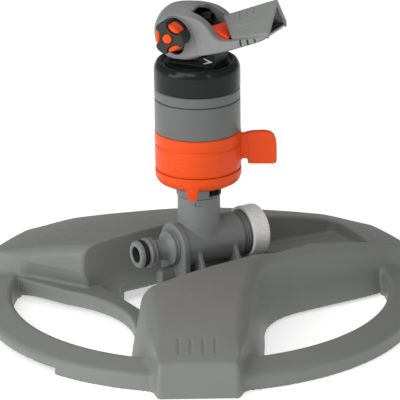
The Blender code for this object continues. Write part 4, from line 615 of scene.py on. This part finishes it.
orange = plastic("orange", (0.84, 0.078, 0.006), 0.38, grain=0.01, grain_size=0.5, cloud=0.035, gloss=0.22,
                 glow=0.06)
upper = moulded("upper_ring", upper_ring, (-26.5, -26.5, 92.5), (47, 26.5, 116.5), 0.5, column, orange)
lower = moulded("lower_ring", lower_ring, (-26.5, -27, 79), (26.5, 26.5, 93), 0.45, column, orange)
for piece, cad_node, body in ((upper, "sector_ring_upper", "upper_stop"),
                              (lower, "sector_ring_lower", "lower_stop")):
    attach(piece, body)
    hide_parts(cad_node)

# Turbine and gears: inside the housing water turns an orange wheel, and acetal gears on two steel pins slow
# it down in four steps against the fixed wheel at the top, so the case and the whole turret creep round.
acetal = plastic("acetal", (0.72, 0.71, 0.66), 0.35, grain=0.006, grain_size=0.3, glow=0.08)
inner_grey = plastic("inner_grey", (0.085, 0.090, 0.088), 0.45)
for names, finish in ((("axle_gear", "idler_gear_low", "idler_gear_high"), acetal),
                      (("turbine_wheel",), orange),
                      (("inlet_stator", "gear_case", "gear_case_lid"), inner_grey),
                      (("fixed_sun_gear",), soft_black),
                      (("axle_pin", "gear_post"), bright_steel)):
    for name in names:
        finished(name, finish)

# Head: a grey polypropylene hood with a rounded back, whose two walls run out as the deflector's arm.
# It snaps over a black tower that is screwed through the collar's deck, and its near face is stepped round
# the nozzle selector. Two steel pins pass through its walls.
HEAD_AZ = -27.0
DRUM_X = -4.1
DRUM_Z = 177.8
BARREL_X = -4.6
HEAD_HALF = 17.3
KNOB_X = -5.2
KNOB_Z = 179.4
RECESS_R = 11.0
CAVITY_HALF = 11.2
BREAKER_PIN = (23.2, 176.4)
DEFLECTOR_PIN = (31.0, 177.5)
PIN_HOLE_R = 1.3
ARM_SLOTS = ((36.1, 178.2, 1.8), (40.7, 179.3, 1.5), (45.4, 180.6, 1.2))
head_seat = column @ Matrix.Rotation(math.radians(HEAD_AZ), 4, "Z")
turns = [math.radians(angle) for angle in range(80, 281, 20)]
drum = [((DRUM_X + 11.5 * math.cos(turn), DRUM_Z + 11.5 * math.sin(turn)), 1.0) for turn in turns]
arm_at = charted(eased(drum + [
    ((8.0, 166.9), 4), ((18.0, 169.4), 4), ((28.0, 172.4), 4), ((37.0, 176.0), 4), ((47.0, 179.8), 3),
    ((51.0, 182.1), 1.6), ((52.2, 184.5), 0.5), ((51.4, 184.8), 0.5), ((42.0, 182.1), 4), ((34.0, 180.0), 3),
    ((29.5, 179.1), 2), ((24.5, 178.4), 3), ((20.6, 179.8), 2.5), ((18.2, 182.4), 2), ((16.0, 185.7), 2),
    ((12.4, 188.7), 3), ((6.0, 191.2), 4)]), (-22, 160), (56, 200), 0.4)
face_at = charted(eased([
    ((-10.2, 189.2), 2), ((-4.9, 190.2), 3), ((0.6, 188.4), 3), ((3.9, 185.0), 3), ((6.2, 181.0), 3),
    ((8.2, 173.6), 4), ((9.6, 166.0), 1), ((9.8, 158.0), 1), ((-26.0, 158.0), 1), ((-26.0, 186.0), 1),
    ((-14.0, 187.4), 2)]), (-28, 156), (14, 196), 0.4)
rim_at = charted(eased([
    ((3.9, 179.2), 2), ((2.5, 183.6), 2.4), ((-0.9, 187.2), 2.4), ((-5.1, 189.1), 2.6), ((-10.5, 188.0), 3),
    ((-14.8, 184.0), 3), ((-16.2, 178.0), 3), ((-14.6, 172.0), 3), ((-9.6, 167.5), 2.6), ((-4.6, 166.1), 2.4),
    ((-1.4, 168.0), 1.6), ((0.0, 170.8), 1.2), ((0.1, 174.0), 1.4)]), (-20, 162), (8, 193), 0.4)
cavity_at = charted(eased([
    ((3.4, 182.6), 0.4), ((2.6, 192.0), 0.6), ((6.0, 214.0), 0.5), ((51.2, 214.0), 0.5), ((50.6, 183.4), 0.5),
    ((44.0, 180.1), 2), ((36.0, 176.8), 2), ((26.0, 173.6), 3), ((8.0, 172.0), 2)]),
    (-4, 168), (56, 218), 0.4)


def drum_radius(y):
    """The hood's rounded back bulges between its two sides."""
    near = 14.0 + 5.6 * (1 - np.clip(-y / HEAD_HALF, 0, 1.05) ** 2.2)
    return np.where(y < -3, near, 19.4 - 6.6 * np.clip((y + 3.0) / 20.3, 0, 1.05) ** 1.2)


def round_back(x, z):
    """Distance from the back's axis, which grows faster upwards, where the hood is flatter."""
    up = z - DRUM_Z
    return np.hypot(x - BARREL_X, up * (1 + 0.105 * np.clip(up / 4.0, 0, 1)))


def hood(x, y, z):
    """The hood: a bulging back, a long arm, the jet's cavity, the selector's socket and three slots."""
    reach = round_back(x, z)
    half = HEAD_HALF - 1.6 * np.clip((x - 14.0) / 16.0, 0, 1) - 3.0 * np.clip((x - 30.0) / 22.0, 0, 1.2)
    face = face_at(x, z)
    near = half - 0.65 * np.clip(0.5 - face / 0.5, 0, 1) - 0.3 * np.exp(-((face - 0.1) / 0.45) ** 2)
    side = np.where(y < 0, -y - near, y - half)
    back = reach - drum_radius(y)
    back += 0.28 * np.exp(-((y + 8.6 + 0.06 * (x + 4.0)) / 0.45) ** 2) * (z > 182) * (x > -22)
    far = np.clip(y / HEAD_HALF, 0, 1) * np.clip((24.0 - x) / 8.0, 0, 1)
    body = meet(join(back, arm_at(x + 1.4 * far, z + 1.7 * far), 4.0), side, 1.5)
    inner = np.maximum(reach - drum_radius(y) + 2.0, np.abs(y) - HEAD_HALF + 2.6)
    room = meet(cavity_at(x, z), np.abs(y) - CAVITY_HALF, 0.6)
    under = np.maximum(np.abs(x - 1.9) - 15.7, np.maximum(np.abs(y) - 11.8, np.abs(z - 159.4) - 9.4))
    body = meet(body, -np.minimum(room, under), 0.7)
    socket = np.maximum(np.hypot(x - KNOB_X, z - KNOB_Z) - RECESS_R, np.abs(y + 11.4) - 4.1)
    mouth = np.maximum(rim_at(x, z), y + 12.0)
    pins = [np.hypot(x - at, z - up) for at, up in (BREAKER_PIN, DEFLECTOR_PIN)]
    pins = np.minimum(*pins) - PIN_HOLE_R
    body = np.maximum(body, -np.minimum(inner, np.maximum(pins, np.abs(y) - 13.2)))
    body = meet(np.maximum(body, -socket), -mouth, 0.5)
    for at, low, length in ARM_SLOTS:
        across, up = x - at - 0.24 * (178.3 - z), z - low
        body = np.maximum(body, -np.maximum(np.maximum(np.abs(across) - 0.55, np.abs(up) - length), y + 10.8))
    return meet(body, 163.7 - z, 0.5)


head_grey = plastic("head_grey", (0.225, 0.230, 0.226), 0.42, grain=0.03, grain_size=0.6, cloud=0.04)
hood_skin = moulded("hood", hood, (-24, -18, 163), (53, 18, 198), 0.45, head_seat, head_grey)
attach(hood_skin, "turret")
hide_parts("head_shell")


SPOUT_X = 2.0
SPOUT_Z = 183.2
SPOUT_TILT = 20.0


def block(x, y, z, low, high, radius):
    """A box with rounded edges, from its lowest corner to its highest."""
    spans = [np.abs(value - (a + b) / 2) - (b - a) / 2 for value, a, b in zip((x, y, z), low, high)]
    return meet(meet(spans[0], spans[1], radius), spans[2], radius)


def tower(x, y, z):
    """The tower: base plate, block, pillar, post, shelf and the bores for the water."""
    reach = np.hypot(x, y)
    body = meet(reach - 19.0, np.abs(z - 158.45) - 0.65, 0.4)
    body = join(body, block(x, y, z, (-13.5, -11.5, 157.9), (14.0, 11.5, 166.0), 1.0), 0.8)
    body = np.minimum(body, block(x, y, z, (11.2, -10.9, 158.3), (16.8, 5.9, 162.4), 0.5))
    body = join(body, block(x, y, z, (12.0, -11.4, 160.2), (17.3, 6.4, 168.5), 0.8), 0.4)
    body = join(body, block(x, y, z, (-9.0, -9.0, 163.0), (1.5, 11.3, 187.4), 0.8), 0.8)
    ends = np.maximum(np.abs(x + 3.0) - 9.5, np.abs(y + 11.5) - 0.7)
    body = np.minimum(body, np.maximum(np.abs(z - 161.9 - 0.10 * x) - 0.45, ends))
    forward, aside = turned_to(SPOUT_TILT, x - SPOUT_X, z - SPOUT_Z)
    spout_bore = np.maximum(np.hypot(aside, y) - 2.6, np.abs(forward + 1.5) - 4.5)
    return np.maximum(body, -np.minimum(np.maximum(reach - 3.0, z - DRUM_Z), spout_bore))


tower_skin = moulded("tower", tower, (-19.5, -19.5, 157.5), (24.5, 19.5, 188), 0.5, head_seat, soft_black)
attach(tower_skin, "turret")
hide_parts("head_body")
spout_turn = Matrix.Rotation(math.radians(90.0 - SPOUT_TILT), 4, "Y")
spout_seat = head_seat @ Matrix.Translation((SPOUT_X, 0, SPOUT_Z)) @ spout_turn
spout = lathe("nozzle", [
    ((2.6, 0.3), 0.1), ((2.6, 9.7), 0.3), ((3.3, 9.7), 0.2), ((3.7, 9.2), 0.3), ((3.9, 6.4), 0.2),
    ((4.3, 6.2), 0.2), ((4.6, 0.3), 0.2)], spout_seat, soft_black, sides=64)
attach(spout, "turret")
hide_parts("nozzle_tube")
clip_grey = plastic("clip_grey", (0.36, 0.37, 0.37), 0.45)
finished("head_clip", clip_grey)
pin_steel = steel("pin_steel", roughness=0.35)
for name in ("breaker_pin", "deflector_pin"):
    finished(name, pin_steel)

# Selector: a black three-lobed knob that turns in the hood to set the nozzle, moulded hollow on a wide base.
# Three orange inserts fill the hollows between its lobes, and an orange cap covers the screw at its middle.
KNOB_FRONT = -27.5
KNOB_BASE_R = 10.7
INSERT_OUT = 6.9
selector_seat = head_seat @ Matrix.Translation((KNOB_X, 0, KNOB_Z))


def cushion(out, across, depth, grow):
    """An insert's oval section behind the knob's front, whose outer half swells towards the back."""
    swell = np.where(out < INSERT_OUT, 1.8, 1.0 + 0.95 * np.clip(depth / 5.0, 0, 1)) + grow
    return (np.hypot(across / (4.1 + grow), (out - INSERT_OUT) / swell) - 1) * 1.8


def knob(x, y, z):
    """The knob: three lobes on a round foot, ribs at its back and pockets for the inserts."""
    reach, turn = np.hypot(x, z), np.arctan2(z, x)
    lobes = reach - (8.6 + 1.62 * np.tanh(2.0 * np.cos(3 * turn)) / 0.964)
    grip = meet(0.93 * lobes, np.abs(y + 22.5) - 5.0, 1.0)
    foot = meet(reach - KNOB_BASE_R, np.abs(y + 12.3) - 3.0, 0.4)
    body = join(grip, np.maximum(reach - 8.3, np.abs(y + 16.0) - 2.5), 0.6)
    body = join(body, foot, 0.5)
    ribs = np.abs((x * 0.5 - z * 0.866) % 2.4 - 1.2) - 0.45
    body = np.minimum(body, np.maximum(ribs, np.maximum(np.abs(y + 15.3) - 0.6, reach - 10.6)))
    for k in range(3):
        out, across = turned_to(60.0 + 120.0 * k, x, z)
        pocket = np.where(out < INSERT_OUT, cushion(out, across, 0.0, 0.35), np.abs(across) - 4.45)
        body = np.maximum(body, -np.maximum(pocket, y - KNOB_FRONT - 8.4))
    cap_seat = np.maximum(reach - 3.2, y + 25.5)
    ring = 0.25 * np.exp(-((reach - 4.0) / 0.3) ** 2)
    return np.maximum(body + np.where(y < -26, ring, 0), -cap_seat)


knob_black = plastic("knob_black", (0.022, 0.026, 0.024), 0.34, grain=0.012, grain_size=0.4, cloud=0.08,
                     gloss=0.3)
knob_skin = moulded("knob", knob, (-11.2, -28, -11.2), (11.2, -9, 11.2), 0.4, selector_seat, knob_black)
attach(knob_skin, "selector")
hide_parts("nozzle_selector")


def insert(x, y, z):
    """One orange insert, whose way out from the knob's middle is Z."""
    depth = y - KNOB_FRONT
    return meet(cushion(z, x, depth, 0.0), np.abs(depth - 4.1 - 0.02 * x * x) - 3.8, 1.2)


for k in range(3):
    seat = selector_seat @ Matrix.Rotation(math.radians(30.0 - 120.0 * k), 4, "Y")
    piece = moulded(f"insert_{k + 1}", insert, (-4.3, -28.2, 4.8), (4.3, -18.5, 9.2), 0.3, seat, orange)
    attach(piece, "selector")
    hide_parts(f"selector_insert_{k + 1}")
cap_seat = selector_seat @ Matrix.Rotation(math.radians(90.0), 4, "X")
button = lathe("selector_button", [
    ((0.01, 28.7), 0.0), ((1.6, 28.65), 0.6), ((2.9, 28.2), 0.6), ((2.9, 25.8), 0.1), ((0.01, 25.8), 0.0)],
    cap_seat, orange, sides=64)
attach(button, "selector")
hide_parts("selector_cap")

# Breaker and deflector: an orange flap that breaks up the jet, and a grey roof that bends it down.
# Each turns on a thin steel pin through the hood's walls, and the roof's near plate has three scale grooves.
FLAP_END = 26.6
FLAP_HALF = 10.9
ROOF_START = 17.8
ROOF_END = 53.0
ROOF_HALF = 12.4
ROOF_RIDGE = 188.8
ROOF_SKIRT = 180.7
ROOF_GROOVES = ((31.3, 189.8, 194.3), (35.8, 192.5, 196.0), (40.3, 194.8, 197.8))


def flap(x, y, z):
    """The flap: a wedge with a slanted lip, a small cross on top and a hole for its pin."""
    past = x - FLAP_END
    top = 0.94 * (z - 179.6 + past * 0.364)
    under = 0.94 * (174.4 - past * 0.364 - z)
    lip = 0.978 * (12.8 + (y + FLAP_HALF) * 0.2126 - x)
    heel = np.maximum(past, 0.7 * (past - z + BREAKER_PIN[1]) + 0.3)
    body = meet(meet(meet(top, under, 0.8), lip, 0.9), heel, 0.8)
    body = meet(body, np.abs(y) - FLAP_HALF, 0.8)
    along, across = x - 21.0, y + 6.2
    cross = np.minimum(np.maximum(np.abs(along - across) - 0.35, np.abs(along + across) - 2.3),
                       np.maximum(np.abs(along + across) - 0.35, np.abs(along - across) - 2.3))
    body = np.maximum(body, -np.maximum(cross, -0.45 - top))
    return np.maximum(body, PIN_HOLE_R - np.hypot(x - BREAKER_PIN[0], z - BREAKER_PIN[1]))


flap_orange = plastic("flap_orange", (0.92, 0.062, 0.006), 0.33, grain=0.01, grain_size=0.5, cloud=0.04,
                      gloss=0.25, glow=0.06)
flap_skin = moulded("flap", flap, (11, -11.5, 173), (28, 11.5, 186), 0.4, head_seat, flap_orange)
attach(flap_skin, "breaker")
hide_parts("jet_breaker")


def roof(x, y, z):
    """The roof: two thin plates from a ridge, a far wall, grooves, a raised panel and two ears."""
    side = np.abs(y)
    ridge = ROOF_RIDGE + (x - ROOF_START) * 0.4205
    skirt = ROOF_SKIRT + (x - 29.5) * 0.2321
    pitch = (ridge - skirt) / ROOF_HALF
    slant = 1 / np.sqrt(1 + pitch ** 2 + 0.1)
    outer = slant * (z - ridge + pitch * side)
    plate = meet(outer, -outer - 1.5, 0.35)
    start = (ROOF_START + side * 0.9435 - x) * 0.72
    end = (x - ROOF_END - side * 0.0161) * 0.95
    body = meet(plate, meet(np.maximum(start, end), (side - ROOF_HALF) * 0.8, 0.5), 0.35)
    lip = meet(meet(end, -end - 1.3, 0.3), meet(outer + 0.4, -outer - 2.3, 0.4), 0.3)
    body = np.minimum(body, lip + 20.0 * (side > 12.0))
    groove = 1e9
    for at, low, high in ROOF_GROOVES:
        lean, up = x - at + 0.515 * (y + 5.0), z + 0.36 * (y + 5.0)
        length = np.abs(up - (low + high) / 2) - (high - low) / 2
        groove = np.minimum(groove, np.maximum(np.abs(lean) - 0.5, length))
    body = np.maximum(body, -np.maximum(np.maximum(groove, -0.3 - outer), y))
    ends = np.abs(x - 36.0) - 7.5 + 0.3 * np.abs(z - 184.0)
    panel = np.maximum(ends, np.abs(z - 184.2 - 0.30 * (x - 36.0)) - 3.6)
    body += np.where(y < 0, 0.16 * np.clip(0.5 - panel / 0.5, 0, 1), 0) * (outer > -0.9)
    ear = np.hypot(x - DEFLECTOR_PIN[0], z - DEFLECTOR_PIN[1])
    ears = np.minimum(ear - 2.0, np.maximum(np.abs(x - DEFLECTOR_PIN[0]) - 1.98, np.abs(z - 179.75) - 2.25))
    ears = np.maximum(np.maximum(ears, np.abs(side - 9.6) - 1.2), PIN_HOLE_R - ear)
    return np.minimum(body, ears)


roof_grey = plastic("roof_grey", (0.200, 0.207, 0.200), 0.40, grain=0.02, grain_size=0.5, cloud=0.04)
roof_skin = moulded("roof", roof, (17, -13, 175), (53.6, 13, 204), 0.45, head_seat, roof_grey)
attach(roof_skin, "deflector")
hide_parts("jet_deflector")

# Studio: a plain pale floor that runs into a pale surround, two soft boxes at the left, one in front, one
# above and a narrow one at the right. The camera has a long lens, stands where the photograph's did and is
# rolled a little.
CAMERA_RISE = 21.4
CAMERA_AWAY = 3000.0
PIXEL_FOCUS = 5000.0
PICTURE_SIDE = 400
AIM_SHIFT = (1.15, 111.0)
ROLL = 0.8
FLOOR_HALF = 6000


def matt(name, colour, glow):
    """An even pale surface that is lit a little from below, like a light table."""
    made = bpy.data.materials.new(name)
    made.use_nodes = True
    shader = made.node_tree.nodes["Principled BSDF"]
    shader.inputs["Base Color"].default_value = (*colour, 1)
    shader.inputs["Roughness"].default_value = 0.9
    shader.inputs["Specular IOR Level"].default_value = 0.1
    shader.inputs["Emission Color"].default_value = (1, 1, 1, 1)
    shader.inputs["Emission Strength"].default_value = glow
    return made


corners = [(x * FLOOR_HALF, y * FLOOR_HALF, -0.05) for x, y in ((-1, -1), (1, -1), (1, 1), (-1, 1))]
floor = shown("floor", corners, [(0, 1, 2, 3)], Matrix(), matt("floor_white", (0.93, 0.93, 0.93), 0.50))
world = bpy.data.worlds.new("pale_surround")
world.use_nodes = True
surround = world.node_tree.nodes["Background"]
surround.inputs["Color"].default_value = (1.0, 1.0, 1.0, 1)
surround.inputs["Strength"].default_value = 0.25
bpy.context.scene.world = world


def soft_box(name, place, size, power):
    """An area light facing the sprinkler."""
    light = bpy.data.lights.new(name, "AREA")
    light.shape = "RECTANGLE"
    light.size, light.size_y = size
    light.energy = power
    lamp = bpy.data.objects.new(name, light)
    lamp.location = place
    lamp.rotation_euler = (Vector((0, 0, 0.1)) - Vector(place)).to_track_quat("-Z", "Y").to_euler()
    bpy.context.scene.collection.objects.link(lamp)


soft_box("left_box", (-1.3, -1.1, 1.0), (0.7, 1.2), 11.6)
soft_box("low_left_box", (-1.5, -0.6, 0.35), (0.7, 0.5), 4.5)
soft_box("front_box", (-0.6, -1.6, 1.4), (0.8, 0.8), 8.4)
soft_box("right_box", (1.0, -1.5, 0.9), (0.25, 1.0), 2.6)
soft_box("top_box", (0.0, 0.3, 1.8), (1.4, 1.4), 6.0)

rise = math.radians(CAMERA_RISE)
lens = bpy.data.cameras.new("camera")
lens.sensor_width = 36.0
lens.lens = lens.sensor_width * PIXEL_FOCUS / PICTURE_SIDE
lens.clip_end = 30.0
camera = bpy.data.objects.new("camera", lens)
bpy.context.scene.collection.objects.link(camera)
camera.location = column @ Vector((0, -CAMERA_AWAY * math.cos(rise), CAMERA_AWAY * math.sin(rise))) * MM
ahead = Vector((0, math.cos(rise), -math.sin(rise))) * PIXEL_FOCUS
ahead += Vector((1, 0, 0)) * AIM_SHIFT[0] + Vector((0, math.sin(rise), math.cos(rise))) * AIM_SHIFT[1]
camera.rotation_mode = "QUATERNION"
roll = Matrix.Rotation(-math.radians(ROLL), 3, "Z").to_quaternion()
camera.rotation_quaternion = ahead.to_track_quat("-Z", "Y") @ roll
bpy.context.scene.camera = camera
bpy.context.scene.view_settings.view_transform = "Standard"
